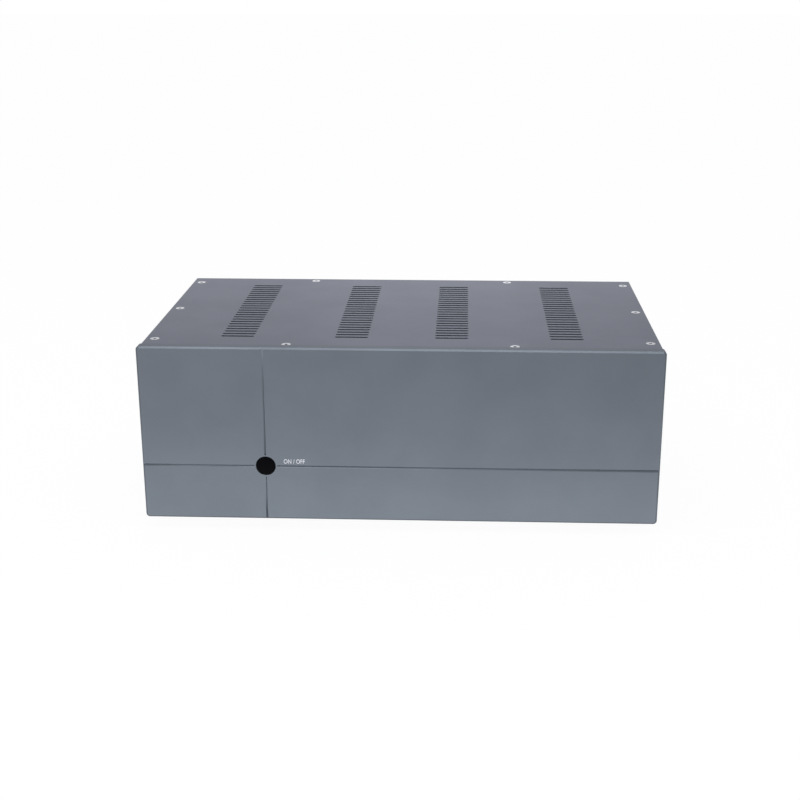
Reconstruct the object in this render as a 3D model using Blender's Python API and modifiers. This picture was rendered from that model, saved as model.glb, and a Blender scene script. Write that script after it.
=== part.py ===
"""Amplifier chassis: an aluminium enclosure with a thick grooved front panel and one power button.

The frame is metres, +Z up, with the front panel facing -Y and the feet standing on z = 0.
The origin is the middle of the footprint. Sizes are set by the named values below.
"""

import math
from collections import namedtuple

import bmesh
import bpy
from mathutils import Matrix, Vector

MM = 0.001

# Clearances
SEAT_GAP = 0.3 * MM
HOLE_CLEARANCE = 0.3 * MM
CUT_MARGIN = 2.0 * MM

# Front panel, a milled plate
PANEL_WIDTH = 430.0 * MM
PANEL_HEIGHT = 150.0 * MM
PANEL_THICKNESS = 10.0 * MM
PANEL_CORNER_RADIUS = 3.0 * MM
PANEL_CHAMFER = 1.0 * MM
PANEL_REAR_CHAMFER = 0.4 * MM
BORE_CHAMFER = 0.4 * MM
GROOVE_WIDTH = 2.1 * MM
GROOVE_LAND = 1.4 * MM
BUTTON_FROM_LEFT = 103.4 * MM
BUTTON_ABOVE_EDGE = 47.7 * MM
PANEL_SCREW_FROM_SIDE = 35.0 * MM
PANEL_SCREW_FROM_EDGE = 20.0 * MM
PANEL_HOLE_DEPTH = 7.0 * MM

# Body behind the panel, set back from the panel's edges
BODY_LENGTH = 247.0 * MM
BODY_SIDE_SETBACK = 1.0 * MM
BODY_TOP_SETBACK = 2.0 * MM
BODY_BOTTOM_SETBACK = 2.0 * MM
REAR_SETBACK = 1.0 * MM

# Top cover and bottom plate
COVER_THICKNESS = 3.0 * MM
COVER_EDGE_RADIUS = 2.5 * MM
BASE_THICKNESS = 2.0 * MM

# Ventilation slots
SLOT_LENGTH = 28.0 * MM
SLOT_WIDTH = 4.0 * MM
SLOT_PITCH = 8.0 * MM
SLOT_COLUMN_INNER = 42.0 * MM
SLOT_COLUMN_OUTER = 138.0 * MM
SLOTS_FROM_FRONT = 32.5 * MM
SLOTS_FROM_REAR = 30.5 * MM
BASE_SLOTS_FROM_END = 85.0 * MM

# Extruded side panels, each with two open screw ports
SIDE_SETBACK = 0.3 * MM
SIDE_WALL = 3.0 * MM
SIDE_FLANGE = 3.0 * MM
SIDE_FLANGE_REACH = 17.0 * MM
PORT_FROM_FACE = 20.0 * MM
PORT_RING_WALL = 1.9 * MM
PORT_SINK = 1.0 * MM
PORT_SLOT_HALF_ANGLE = math.radians(30.0)

# Folded sheets: the inner front plate and the rear panel
INNER_THICKNESS = 1.5 * MM
INNER_BEND_RADIUS = 0.5 * MM
INNER_FLANGE = 14.0 * MM
REAR_THICKNESS = 2.0 * MM
REAR_BEND_RADIUS = 1.0 * MM
REAR_FLANGE = 16.0 * MM
FLANGE_END_GAP = 0.6 * MM

# Screw rows of the cover and the bottom plate
SIDE_ROW_FROM_EDGE = 8.0 * MM
SIDE_ROW_FROM_FRONT = 22.0 * MM
SIDE_ROW_FROM_REAR = 18.0 * MM
END_ROW_HALF_SPACING = 94.0 * MM
FRONT_ROW_FROM_END = 8.3 * MM
REAR_ROW_FROM_END = 7.5 * MM

# Rear cut-outs
INLET_WIDTH = 27.5 * MM
INLET_HEIGHT = 20.0 * MM
INLET_CORNER = 3.0 * MM
INLET_FIXING_SPACING = 40.0 * MM
INLET_FIXING_DIAMETER = 3.4 * MM
INLET_FROM_SIDE = 64.0 * MM
CUTOUT_HEIGHT = 45.0 * MM
POST_DIAMETER = 8.0 * MM
POST_PAIR_SPACING = 19.0 * MM
POST_PAIR_X = (35.0 * MM, 105.0 * MM)
SOCKET_DIAMETER = 9.5 * MM
SOCKET_FROM_SIDE = 44.0 * MM
SOCKET_HALF_SPACING = 10.0 * MM
SOCKET_HEIGHT = 90.0 * MM

# Power button, its plunger and its switch
BUTTON_DIAMETER = 15.8 * MM
BUTTON_GAP = 0.3 * MM
BUTTON_PROUD = 0.8 * MM
BUTTON_DOME = 0.5 * MM
BUTTON_EDGE_RADIUS = 1.2 * MM
COLLAR_LIP = 1.1 * MM
COLLAR_THICKNESS = 1.5 * MM
COLLAR_CLEARANCE = 0.8 * MM
BOSS_DIAMETER = 9.0 * MM
BOSS_LENGTH = 6.0 * MM
BUTTON_TRAVEL = 3.0 * MM
PLUNGER_SIDE = 4.0 * MM
PLUNGER_GRIP = 4.5 * MM
HOUSING_WIDTH = 20.0 * MM
HOUSING_LENGTH = 24.0 * MM
HOUSING_CHAMFER = 1.0 * MM
HOUSING_STANDOFF = 2.5 * MM
TERMINAL_WIDTH = 4.8 * MM
TERMINAL_THICKNESS = 0.8 * MM
TERMINAL_LENGTH = 7.0 * MM
TERMINAL_ROOT = 2.0 * MM
TERMINAL_HALF_SPACING = 5.0 * MM
BRACKET_THICKNESS = 1.5 * MM
BRACKET_BEND_RADIUS = 1.0 * MM
BRACKET_WIDTH = 26.0 * MM
BRACKET_LEG = 21.0 * MM
BRACKET_SCREW_DROP = 11.0 * MM
BRACKET_SCREW_HALF_SPACING = 7.0 * MM
SWITCH_SCREW_HALF_SPACING = 6.0 * MM
SWITCH_SCREW_GRIP = 4.0 * MM

# Feet
FOOT_HEIGHT = 12.0 * MM
FOOT_DIAMETER = 38.0 * MM
FOOT_FLARE = 2.0 * MM
FOOT_CHAMFER = 1.0 * MM
FOOT_RIM_WALL = 2.0 * MM
FOOT_WELL_DIAMETER = 12.0 * MM
FOOT_SCREW_SEAT = 3.2 * MM
FOOT_FROM_SIDE = 55.0 * MM
FOOT_FROM_END = 42.0 * MM
PAD_RING_WIDTH = 5.5 * MM
PAD_THICKNESS = 3.0 * MM
PAD_PROUD = 1.5 * MM

# Screws: diameters of the shank and the raised head, height of that head, width of the key, and
# diameter of a countersunk head, all to M4 and M3
ScrewSize = namedtuple("ScrewSize", "shank head head_height key countersunk_head")
M4 = ScrewSize(4.0 * MM, 7.6 * MM, 2.2 * MM, 2.5 * MM, 8.0 * MM)
M3 = ScrewSize(3.0 * MM, 5.7 * MM, 1.65 * MM, 2.0 * MM, 5.6 * MM)
SOCKET_DEPTH_SHARE = 0.6
SCREW_TIP = 2.0 * MM
PORT_SCREW_LENGTH = 10.0 * MM

# Facets of round forms
HOLE_SEGMENTS = 10
SCREW_SEGMENTS = 10
HIDDEN_SCREW_SEGMENTS = 8
ROUND_SEGMENTS = 32
FOOT_SEGMENTS = 20
SLOT_END_SEGMENTS = 3

# Levels along Z
BODY_WIDTH = PANEL_WIDTH - 2 * BODY_SIDE_SETBACK
BASE_LOW = FOOT_HEIGHT
BASE_HIGH = BASE_LOW + BASE_THICKNESS
PANEL_LOW = BASE_LOW - BODY_BOTTOM_SETBACK
PANEL_HIGH = PANEL_LOW + PANEL_HEIGHT
COVER_HIGH = PANEL_HIGH - BODY_TOP_SETBACK
COVER_LOW = COVER_HIGH - COVER_THICKNESS
FRAME_LOW = BASE_HIGH + SEAT_GAP
FRAME_HIGH = COVER_LOW - SEAT_GAP

# Planes along Y, from the button's crown to the heads of the rear screws
REAR_OVERHANG = max(0.0, SEAT_GAP + M3.head_height - REAR_SETBACK)
DEPTH = BUTTON_PROUD + PANEL_THICKNESS + SEAT_GAP + BODY_LENGTH + REAR_OVERHANG
PANEL_FRONT = BUTTON_PROUD - DEPTH / 2
PANEL_BACK = PANEL_FRONT + PANEL_THICKNESS
BODY_FRONT = PANEL_BACK + SEAT_GAP
BODY_REAR = BODY_FRONT + BODY_LENGTH
INNER_BACK = BODY_FRONT + INNER_THICKNESS
REAR_OUTER = BODY_REAR - REAR_SETBACK
REAR_INNER = REAR_OUTER - REAR_THICKNESS
FRONT_ROW_Y = BODY_FRONT + FRONT_ROW_FROM_END
REAR_ROW_Y = BODY_REAR - REAR_ROW_FROM_END

# Side panels and their ports
SIDE_OUTER = BODY_WIDTH / 2 - SIDE_SETBACK
SIDE_INNER = SIDE_OUTER - SIDE_WALL
FLANGE_HALF_WIDTH = SIDE_OUTER - SIDE_FLANGE_REACH - FLANGE_END_GAP
PORT_BORE_RADIUS = M3.shank / 2 + HOLE_CLEARANCE
PORT_RING_RADIUS = PORT_BORE_RADIUS + PORT_RING_WALL
PORT_X = SIDE_INNER - PORT_RING_RADIUS + PORT_SINK
PORT_LEVELS = (BASE_LOW + PORT_FROM_FACE, COVER_HIGH - PORT_FROM_FACE)

# The button's axis and the planes of its mechanism
BUTTON_X = BUTTON_FROM_LEFT - PANEL_WIDTH / 2
BUTTON_Z = PANEL_LOW + BUTTON_ABOVE_EDGE
BORE_RADIUS = BUTTON_DIAMETER / 2 + BUTTON_GAP
COLLAR_RADIUS = BORE_RADIUS + COLLAR_LIP
COLLAR_BACK = PANEL_BACK + SEAT_GAP + COLLAR_THICKNESS
BOSS_BACK = COLLAR_BACK + BOSS_LENGTH
HOUSING_FRONT = BOSS_BACK + BUTTON_TRAVEL + HOUSING_STANDOFF
HOUSING_BACK = HOUSING_FRONT + HOUSING_LENGTH
HOUSING_HALF_HEIGHT = COLLAR_RADIUS + COLLAR_CLEARANCE - SEAT_GAP
SHELF_TOP = BUTTON_Z - HOUSING_HALF_HEIGHT - SEAT_GAP
LEG_FRONT = INNER_BACK + SEAT_GAP

M4_HOLE = M4.shank + 2 * HOLE_CLEARANCE
M3_HOLE = M3.shank + 2 * HOLE_CLEARANCE
PLUNGER_HOLE = PLUNGER_SIDE + 2 * HOLE_CLEARANCE

# Turns that bring a drawing's third axis onto X, Y or Z
AXIS_TURNS = {
    "X": Matrix(((0, 0, 1), (1, 0, 0), (0, 1, 0))),
    "Y": Matrix(((1, 0, 0), (0, 0, -1), (0, 1, 0))),
    "Z": Matrix.Identity(3),
}


def clear_scene():
    """Removes every object of the startup scene."""
    for found in list(bpy.data.objects):
        bpy.data.objects.remove(found)


def new_collection(name):
    """A collection linked to the scene."""
    made = bpy.data.collections.new(name)
    bpy.context.scene.collection.children.link(made)
    return made


def new_material(name, colour, roughness, metallic):
    """A Principled material with one colour, roughness and metallic value."""
    made = bpy.data.materials.new(name)
    made.use_nodes = True
    shader = made.node_tree.nodes["Principled BSDF"]
    shader.inputs["Base Color"].default_value = (*colour, 1.0)
    shader.inputs["Roughness"].default_value = roughness
    shader.inputs["Metallic"].default_value = metallic
    made.diffuse_color = (*colour, 1.0)
    return made


def add_part(mesh, material, location=(0, 0, 0), rotation=None, name=None):
    """A part in the parts collection, named like its mesh unless a name is given."""
    part = bpy.data.objects.new(name or mesh.name, mesh)
    if not mesh.materials:
        mesh.materials.append(material)
    if rotation is not None:
        part.rotation_euler = rotation.to_euler()
    part.location = location
    PARTS.objects.link(part)
    return part


def cut(part, mesh, location=(0, 0, 0), rotation=None, operation="DIFFERENCE"):
    """Cuts a part with a new cutter, which is drawn as wire and never rendered."""
    cutter = bpy.data.objects.new(mesh.name, mesh)
    cutter.display_type = "WIRE"
    cutter.hide_render = True
    cutter.location = location
    if rotation is not None:
        cutter.rotation_euler = rotation.to_euler()
    cutter.parent = part.parent
    CUTTERS.objects.link(cutter)
    modifier = part.modifiers.new(mesh.name, "BOOLEAN")
    modifier.operation = operation
    modifier.solver = "EXACT"
    modifier.object = cutter


def baked(guide):
    """The mesh of a guide object with its modifiers, as a new mesh; the guide is removed."""
    bpy.context.scene.collection.objects.link(guide)
    bpy.context.view_layer.update()
    graph = bpy.context.evaluated_depsgraph_get()
    mesh = bpy.data.meshes.new_from_object(guide.evaluated_get(graph))
    mesh.name = guide.name
    bpy.data.objects.remove(guide)
    return mesh


def cleaned(mesh, merge_flat):
    """The mesh with its caps welded, its faces turned outwards and, if asked, flat neighbours merged."""
    work = bmesh.new()
    work.from_mesh(mesh)
    bmesh.ops.remove_doubles(work, verts=work.verts, dist=1e-6)
    if merge_flat:
        bmesh.ops.dissolve_limit(work, angle_limit=0.002, verts=work.verts, edges=work.edges)
    bmesh.ops.recalc_face_normals(work, faces=work.faces)
    work.to_mesh(mesh)
    work.free()
    return mesh


def on_axis(axis, place):
    """The point at this place along an axis, zero on the others."""
    point = Vector((0, 0, 0))
    point["XYZ".index(axis)] = place
    return point


def extruded(name, loops, axis, length, merge_flat=True):
    """Flat outlines extruded along an axis, half the length to each side of zero. Inner loops are holes.

    Points are (x, y) for axis Z, (x, z) for axis Y and (y, z) for axis X.
    """
    curve = bpy.data.curves.new(name, "CURVE")
    curve.dimensions = "2D"
    curve.fill_mode = "BOTH"
    curve.extrude = length / 2
    for loop in loops:
        spline = curve.splines.new("POLY")
        spline.points.add(len(loop) - 1)
        for point, (u, v) in zip(spline.points, loop):
            point.co = (u, v, 0, 1)
        spline.use_cyclic_u = True
    mesh = baked(bpy.data.objects.new(name, curve))
    bpy.data.curves.remove(curve)
    mesh.transform(AXIS_TURNS[axis].to_4x4())
    return cleaned(mesh, merge_flat)


def add_extrusion(name, loops, axis, low, high, material, merge_flat=True):
    """A part extruded along an axis from low to high, smooth round its bends."""
    mesh = shaded(extruded(name, loops, axis, high - low, merge_flat))
    return add_part(mesh, material, on_axis(axis, (low + high) / 2))


def cut_extrusion(part, name, loops, axis, low, high):
    """Cuts outlines out of a part, along an axis from low to high."""
    mesh = extruded(name, loops, axis, high - low, merge_flat=False)
    cut(part, mesh, on_axis(axis, (low + high) / 2))


def cut_bars(part, name, places, diameter, axis, low, high, segments=HOLE_SEGMENTS):
    """Drills round holes along an axis from low to high, at places on the two other axes."""
    work = bmesh.new()
    for u, v in places:
        bmesh.ops.create_cone(
            work,
            cap_ends=True,
            segments=segments,
            radius1=diameter / 2,
            radius2=diameter / 2,
            depth=high - low,
            matrix=Matrix.Translation((u, v, 0)),
        )
    mesh = bpy.data.meshes.new(name)
    work.to_mesh(mesh)
    work.free()
    mesh.transform(AXIS_TURNS[axis].to_4x4())
    cut(part, mesh, on_axis(axis, (low + high) / 2))


def cut_countersinks(part, name, spots, size, thickness, outward):
    """Cuts countersunk screw holes through a plate. The spots lie on the face that takes the heads."""
    hole = size.shank / 2 + HOLE_CLEARANCE
    wide = size.countersunk_head / 2 + HOLE_CLEARANCE
    through = -thickness - CUT_MARGIN
    profile = [(0, CUT_MARGIN), (wide, CUT_MARGIN), (wide, 0), (hole, hole - wide)]
    profile += [(hole, through), (0, through)]
    for i, spot in enumerate(spots):
        cut(part, turned(f"{name}_{i + 1}", profile, HOLE_SEGMENTS), spot, facing(outward))


def boxes(name, corners):
    """A mesh of separate boxes, each given by its low and its high corner."""
    work = bmesh.new()
    for low, high in corners:
        size = Vector(high) - Vector(low)
        middle = (Vector(high) + Vector(low)) / 2
        matrix = Matrix.Translation(middle) @ Matrix.Diagonal((*size, 1.0))
        bmesh.ops.create_cube(work, size=1.0, matrix=matrix)
    mesh = bpy.data.meshes.new(name)
    work.to_mesh(mesh)
    work.free()
    return mesh


def turned(name, profile, segments):
    """A solid turned about Z from (radius, height) points that run down its outer side."""
    outline = bpy.data.meshes.new(name + "_profile")
    points = [(radius, 0.0, height) for radius, height in profile]
    outline.from_pydata(points, [(i, i + 1) for i in range(len(points) - 1)], [])
    guide = bpy.data.objects.new(name, outline)
    turn = guide.modifiers.new("turn", "SCREW")
    turn.steps = turn.render_steps = segments
    turn.use_merge_vertices = True
    turn.merge_threshold = 1e-6
    return shaded(cleaned(baked(guide), merge_flat=False))


def shaded(mesh, angle=40.0):
    """Smooth shading with sharp edges above an angle in degrees."""
    mesh.shade_smooth()
    mesh.set_sharp_from_angle(angle=math.radians(angle))
    return mesh


def facing(direction):
    """The rotation that turns +Z to a direction."""
    return Vector((0, 0, 1)).rotation_difference(Vector(direction))


def arc(centre, radius, start, end, steps):
    """Points along an arc, both ends included; angles in radians."""
    angles = (start + (end - start) * i / steps for i in range(steps + 1))
    return [(centre[0] + radius * math.cos(a), centre[1] + radius * math.sin(a)) for a in angles]


def circle(centre, radius, segments):
    """A closed circle's points, each once."""
    return arc(centre, radius, 0, 2 * math.pi * (1 - 1 / segments), segments - 1)


def rounded_rectangle(half_width, low, high, radius, steps):
    """A rectangle's outline with round corners, centred on the first axis."""
    inner = half_width - radius
    centres = ((inner, high - radius), (-inner, high - radius), (-inner, low + radius), (inner, low + radius))
    quarter = math.pi / 2
    points = []
    for i, centre in enumerate(centres):
        points += arc(centre, radius, i * quarter, (i + 1) * quarter, steps)
    return points


def slot_outline(x, y):
    """A ventilation slot's outline: straight sides and round ends."""
    radius = SLOT_WIDTH / 2
    half = SLOT_LENGTH / 2 - radius
    right = arc((x + half, y), radius, -math.pi / 2, math.pi / 2, SLOT_END_SEGMENTS)
    left = arc((x - half, y), radius, math.pi / 2, 3 * math.pi / 2, SLOT_END_SEGMENTS)
    return right + left


def slot_field(columns, from_front, from_rear):
    """The outlines of columns of slots between two distances from the body's ends."""
    count = int((BODY_LENGTH - from_front - from_rear) / SLOT_PITCH + 1e-6) + 1
    rows = [BODY_FRONT + from_front + i * SLOT_PITCH for i in range(count)]
    return [slot_outline(x, y) for x in columns for y in rows]


def filleted(path, radius, steps=3):
    """An open square path with its inner corners rounded."""
    points = [path[0]]
    for before, corner, after in zip(path, path[1:], path[2:]):
        incoming = (Vector(corner) - Vector(before)).normalized()
        outgoing = (Vector(after) - Vector(corner)).normalized()
        start = Vector(corner) - incoming * radius
        centre = start + outgoing * radius
        first = math.atan2(start.y - centre.y, start.x - centre.x)
        sweep = math.copysign(math.pi / 2, incoming.x * outgoing.y - incoming.y * outgoing.x)
        points += arc(centre, radius, first, first + sweep, steps)
    points.append(path[-1])
    return points


def folded_section(path, thickness, bend_radius):
    """A folded sheet's section. The path is its outer face, with the metal on its left-hand side."""
    inner = []
    for i, point in enumerate(path):
        moved = Vector(point)
        for before, after in zip(path[max(i - 1, 0) : i + 1], path[max(i, 1) : i + 2]):
            along = (Vector(after) - Vector(before)).normalized()
            moved += Vector((-along.y, along.x)) * thickness
        inner.append(tuple(moved))
    return filleted(path, bend_radius + thickness) + list(reversed(filleted(inner, bend_radius)))


def side_row_places(side):
    """The three screws along one side of the cover, as (x, y). Side is -1 for left, 1 for right."""
    x = side * (BODY_WIDTH / 2 - SIDE_ROW_FROM_EDGE)
    front = BODY_FRONT + SIDE_ROW_FROM_FRONT
    rear = BODY_REAR - SIDE_ROW_FROM_REAR
    return [(x, front), (x, (front + rear) / 2), (x, rear)]


def end_row_places(y):
    """The two screws across one end of the cover, as (x, y)."""
    return [(-END_ROW_HALF_SPACING, y), (END_ROW_HALF_SPACING, y)]


def cover_screw_places():
    """The ten screw places that the cover and the bottom plate share, as (x, y)."""
    return side_row_places(-1) + side_row_places(1) + end_row_places(FRONT_ROW_Y) + end_row_places(REAR_ROW_Y)


def panel_screw_places():
    """The four screws that hold the front panel to the inner plate, as (x, z)."""
    reach = PANEL_WIDTH / 2 - PANEL_SCREW_FROM_SIDE
    levels = (PANEL_LOW + PANEL_SCREW_FROM_EDGE, PANEL_HIGH - PANEL_SCREW_FROM_EDGE)
    return [(x, z) for z in levels for x in (-reach, reach)]


def port_places():
    """The four screw ports, as (x, z)."""
    return [(x, z) for z in PORT_LEVELS for x in (-PORT_X, PORT_X)]


def bracket_screw_places():
    """The two screws that hold the switch bracket to the inner plate, as (x, z)."""
    level = SHELF_TOP - BRACKET_SCREW_DROP
    return [(BUTTON_X + side * BRACKET_SCREW_HALF_SPACING, level) for side in (-1, 1)]


def switch_screw_places():
    """The two screws that hold the switch to its bracket, as (x, y)."""
    middle = (HOUSING_FRONT + HOUSING_BACK) / 2
    return [(BUTTON_X, middle + end * SWITCH_SCREW_HALF_SPACING) for end in (-1, 1)]


def foot_places():
    """The four feet, as name and (x, y)."""
    reach = BODY_WIDTH / 2 - FOOT_FROM_SIDE
    ends = (("front", BODY_FRONT + FOOT_FROM_END), ("rear", BODY_REAR - FOOT_FROM_END))
    return [(f"{end}_{side}", (x, y)) for end, y in ends for side, x in (("left", -reach), ("right", reach))]


def make_front_panel():
    """A thick plate with chamfered edges, two V grooves, the button's bore and blind screw holes."""
    half = PANEL_WIDTH / 2
    outline = rounded_rectangle(half, PANEL_LOW, PANEL_HIGH, PANEL_CORNER_RADIUS, 5)
    panel = add_extrusion("front_panel", [outline], "Y", PANEL_FRONT, PANEL_BACK, PANEL_FINISH)
    chamfer = panel.modifiers.new("edge chamfers", "BEVEL")
    chamfer.width = PANEL_CHAMFER
    chamfer.segments = 1
    chamfer.limit_method = "WEIGHT"
    weights = panel.data.attributes.new("bevel_weight_edge", "FLOAT", "EDGE")
    vertices = panel.data.vertices
    for edge, weight in zip(panel.data.edges, weights.data):
        first, second = (vertices[i].co.y for i in edge.vertices)
        if first * second > 0:
            weight.value = 1.0 if first < 0 else PANEL_REAR_CHAMFER / PANEL_CHAMFER

    land = BORE_RADIUS + GROOVE_LAND
    cut_groove(panel, "groove_below", "Z", PANEL_LOW - CUT_MARGIN, BUTTON_Z - land)
    cut_groove(panel, "groove_above", "Z", BUTTON_Z + land, PANEL_HIGH + CUT_MARGIN)
    cut_groove(panel, "groove_left", "X", -half - CUT_MARGIN, BUTTON_X - land)
    cut_groove(panel, "groove_right", "X", BUTTON_X + land, half + CUT_MARGIN)

    mouth = BORE_RADIUS + BORE_CHAMFER + CUT_MARGIN
    through = -PANEL_THICKNESS - CUT_MARGIN
    profile = [(0, CUT_MARGIN), (mouth, CUT_MARGIN), (BORE_RADIUS, -BORE_CHAMFER), (BORE_RADIUS, through)]
    bore = turned("button_bore", profile + [(0, through)], ROUND_SEGMENTS)
    cut(panel, bore, (BUTTON_X, PANEL_FRONT, BUTTON_Z), facing((0, -1, 0)))
    low, high = PANEL_BACK - PANEL_HOLE_DEPTH, PANEL_BACK + CUT_MARGIN
    cut_bars(panel, "panel_screw_threads", panel_screw_places(), M4_HOLE, "Y", low, high)


def cut_groove(panel, name, axis, low, high):
    """Cuts a run of 90 degree V groove along X or Z in the panel's face, through the button's axis."""
    reach = GROOVE_WIDTH / 2
    centre = BUTTON_X if axis == "Z" else BUTTON_Z
    wide = reach + CUT_MARGIN
    section = [(centre - wide, PANEL_FRONT - CUT_MARGIN), (centre, PANEL_FRONT + reach)]
    section.append((centre + wide, PANEL_FRONT - CUT_MARGIN))
    if axis == "X":
        section = [(y, z) for z, y in section]
    cut_extrusion(panel, name, [section], axis, low, high)


def make_cover():
    """The top cover: a plate with rounded long edges, four columns of slots and ten countersinks."""
    half = BODY_WIDTH / 2
    radius = COVER_EDGE_RADIUS
    right = arc((half - radius, COVER_HIGH - radius), radius, 0, math.pi / 2, 4)
    left = arc((radius - half, COVER_HIGH - radius), radius, math.pi / 2, math.pi, 4)
    section = [(half, COVER_LOW), *right, *left, (-half, COVER_LOW)]
    cover = add_extrusion("top_cover", [section], "Y", BODY_FRONT, BODY_REAR, COVER_FINISH)
    low, high = COVER_LOW - CUT_MARGIN, COVER_HIGH + CUT_MARGIN
    columns = (-SLOT_COLUMN_OUTER, -SLOT_COLUMN_INNER, SLOT_COLUMN_INNER, SLOT_COLUMN_OUTER)
    loops = slot_field(columns, SLOTS_FROM_FRONT, SLOTS_FROM_REAR)
    cut_extrusion(cover, "cover_slots", loops, "Z", low, high)
    spots = [(x, y, COVER_HIGH) for x, y in cover_screw_places()]
    cut_countersinks(cover, "cover_hole", spots, M4, COVER_THICKNESS, (0, 0, 1))


def make_bottom_plate():
    """The bottom plate, with slots under the inner columns and holes for its screws and the feet."""
    half = BODY_WIDTH / 2
    outline = [(-half, BODY_FRONT), (half, BODY_FRONT), (half, BODY_REAR), (-half, BODY_REAR)]
    columns = (-SLOT_COLUMN_INNER, SLOT_COLUMN_INNER)
    slots = slot_field(columns, BASE_SLOTS_FROM_END, BASE_SLOTS_FROM_END)
    places = cover_screw_places() + [place for _, place in foot_places()]
    holes = [circle(place, M4_HOLE / 2, HOLE_SEGMENTS) for place in places]
    loops = [outline, *slots, *holes]
    add_extrusion("bottom_plate", loops, "Z", BASE_LOW, BASE_HIGH, SHEET_FINISH, merge_flat=False)


def port_outline(level):
    """One screw port on the right-hand wall, from its lower root round its bore to its upper root."""
    centre = (PORT_X, level)
    root = math.acos((SIDE_INNER - PORT_X) / PORT_RING_RADIUS)
    lower_lip = PORT_SLOT_HALF_ANGLE - math.pi
    upper_lip = math.pi - PORT_SLOT_HALF_ANGLE
    lower = arc(centre, PORT_RING_RADIUS, -root, lower_lip, 4)
    bore = arc(centre, PORT_BORE_RADIUS, lower_lip, upper_lip, 8)
    upper = arc(centre, PORT_RING_RADIUS, upper_lip, root, 4)
    return lower + bore + upper


def make_sides():
    """The two extruded side panels, cut to length and drilled for the cover's and the base's screws."""
    reach = SIDE_OUTER - SIDE_FLANGE_REACH
    flange_low, flange_high = FRAME_LOW + SIDE_FLANGE, FRAME_HIGH - SIDE_FLANGE
    section = [(SIDE_OUTER, FRAME_LOW), (SIDE_OUTER, FRAME_HIGH), (reach, FRAME_HIGH), (reach, flange_high)]
    section.append((SIDE_INNER, flange_high))
    for level in reversed(PORT_LEVELS):
        section += reversed(port_outline(level))
    section += [(SIDE_INNER, flange_low), (reach, flange_low), (reach, FRAME_LOW)]
    low, high = INNER_BACK + SEAT_GAP, REAR_INNER - SEAT_GAP
    margin = CUT_MARGIN / 2
    for name, side in (("side_panel_left", -1), ("side_panel_right", 1)):
        outline = [(side * x, z) for x, z in section]
        panel = add_extrusion(name, [outline], "Y", low, high, COVER_FINISH)
        places = side_row_places(side)
        cut_bars(panel, name + "_upper", places, M4_HOLE, "Z", flange_high - margin, FRAME_HIGH + margin)
        cut_bars(panel, name + "_lower", places, M4_HOLE, "Z", FRAME_LOW - margin, flange_low + margin)


def make_folded_panel(name, web, inward, flange, thickness, bend_radius, material):
    """A sheet folded to top and bottom flanges, which are cut back at their ends to clear the sides.

    The web's outer face lies at this place on Y, and inward is 1 or -1, the way that its flanges point.
    """
    edge = web + inward * flange
    path = [(edge, FRAME_HIGH), (web, FRAME_HIGH), (web, FRAME_LOW), (edge, FRAME_LOW)]
    if inward < 0:
        path.reverse()
    section = folded_section(path, thickness, bend_radius)
    panel = add_extrusion(name, [section], "X", -SIDE_OUTER, SIDE_OUTER, material)
    near, far = sorted((web + inward * (thickness + SEAT_GAP / 2), edge + inward * CUT_MARGIN))
    low, high = FRAME_LOW - CUT_MARGIN, FRAME_HIGH + CUT_MARGIN
    wide = SIDE_OUTER + CUT_MARGIN
    left = ((-wide, near, low), (-FLANGE_HALF_WIDTH, far, high))
    right = ((FLANGE_HALF_WIDTH, near, low), (wide, far, high))
    cut(panel, boxes(name + "_notches", [left, right]))
    return panel


def cut_flanges(panel, name, y, thickness):
    """Drills the end row's two holes in both flanges of a folded panel."""
    margin = CUT_MARGIN / 2
    low, high = FRAME_HIGH - thickness - margin, FRAME_HIGH + margin
    cut_bars(panel, name + "_upper", end_row_places(y), M4_HOLE, "Z", low, high)
    low, high = FRAME_LOW - margin, FRAME_LOW + thickness + margin
    cut_bars(panel, name + "_lower", end_row_places(y), M4_HOLE, "Z", low, high)


def make_inner_plate():
    """The sheet behind the front panel, which ties it to the sides, the cover and the base."""
    name = "inner_front_plate"
    plate = make_folded_panel(
        name, BODY_FRONT, 1, INNER_FLANGE, INNER_THICKNESS, INNER_BEND_RADIUS, SHEET_FINISH
    )
    low, high = BODY_FRONT - CUT_MARGIN, INNER_BACK + CUT_MARGIN
    opening = 2 * (COLLAR_RADIUS + COLLAR_CLEARANCE)
    cut_bars(plate, "collar_opening", [(BUTTON_X, BUTTON_Z)], opening, "Y", low, high, ROUND_SEGMENTS)
    cut_bars(plate, "panel_screw_holes", panel_screw_places(), M4_HOLE, "Y", low, high)
    cut_bars(plate, "bracket_screw_holes", bracket_screw_places(), M3_HOLE, "Y", low, high)
    spots = [(x, BODY_FRONT, z) for x, z in port_places()]
    cut_countersinks(plate, "plate_hole", spots, M3, INNER_THICKNESS, (0, -1, 0))
    cut_flanges(plate, "front_row", FRONT_ROW_Y, INNER_THICKNESS)


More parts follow.
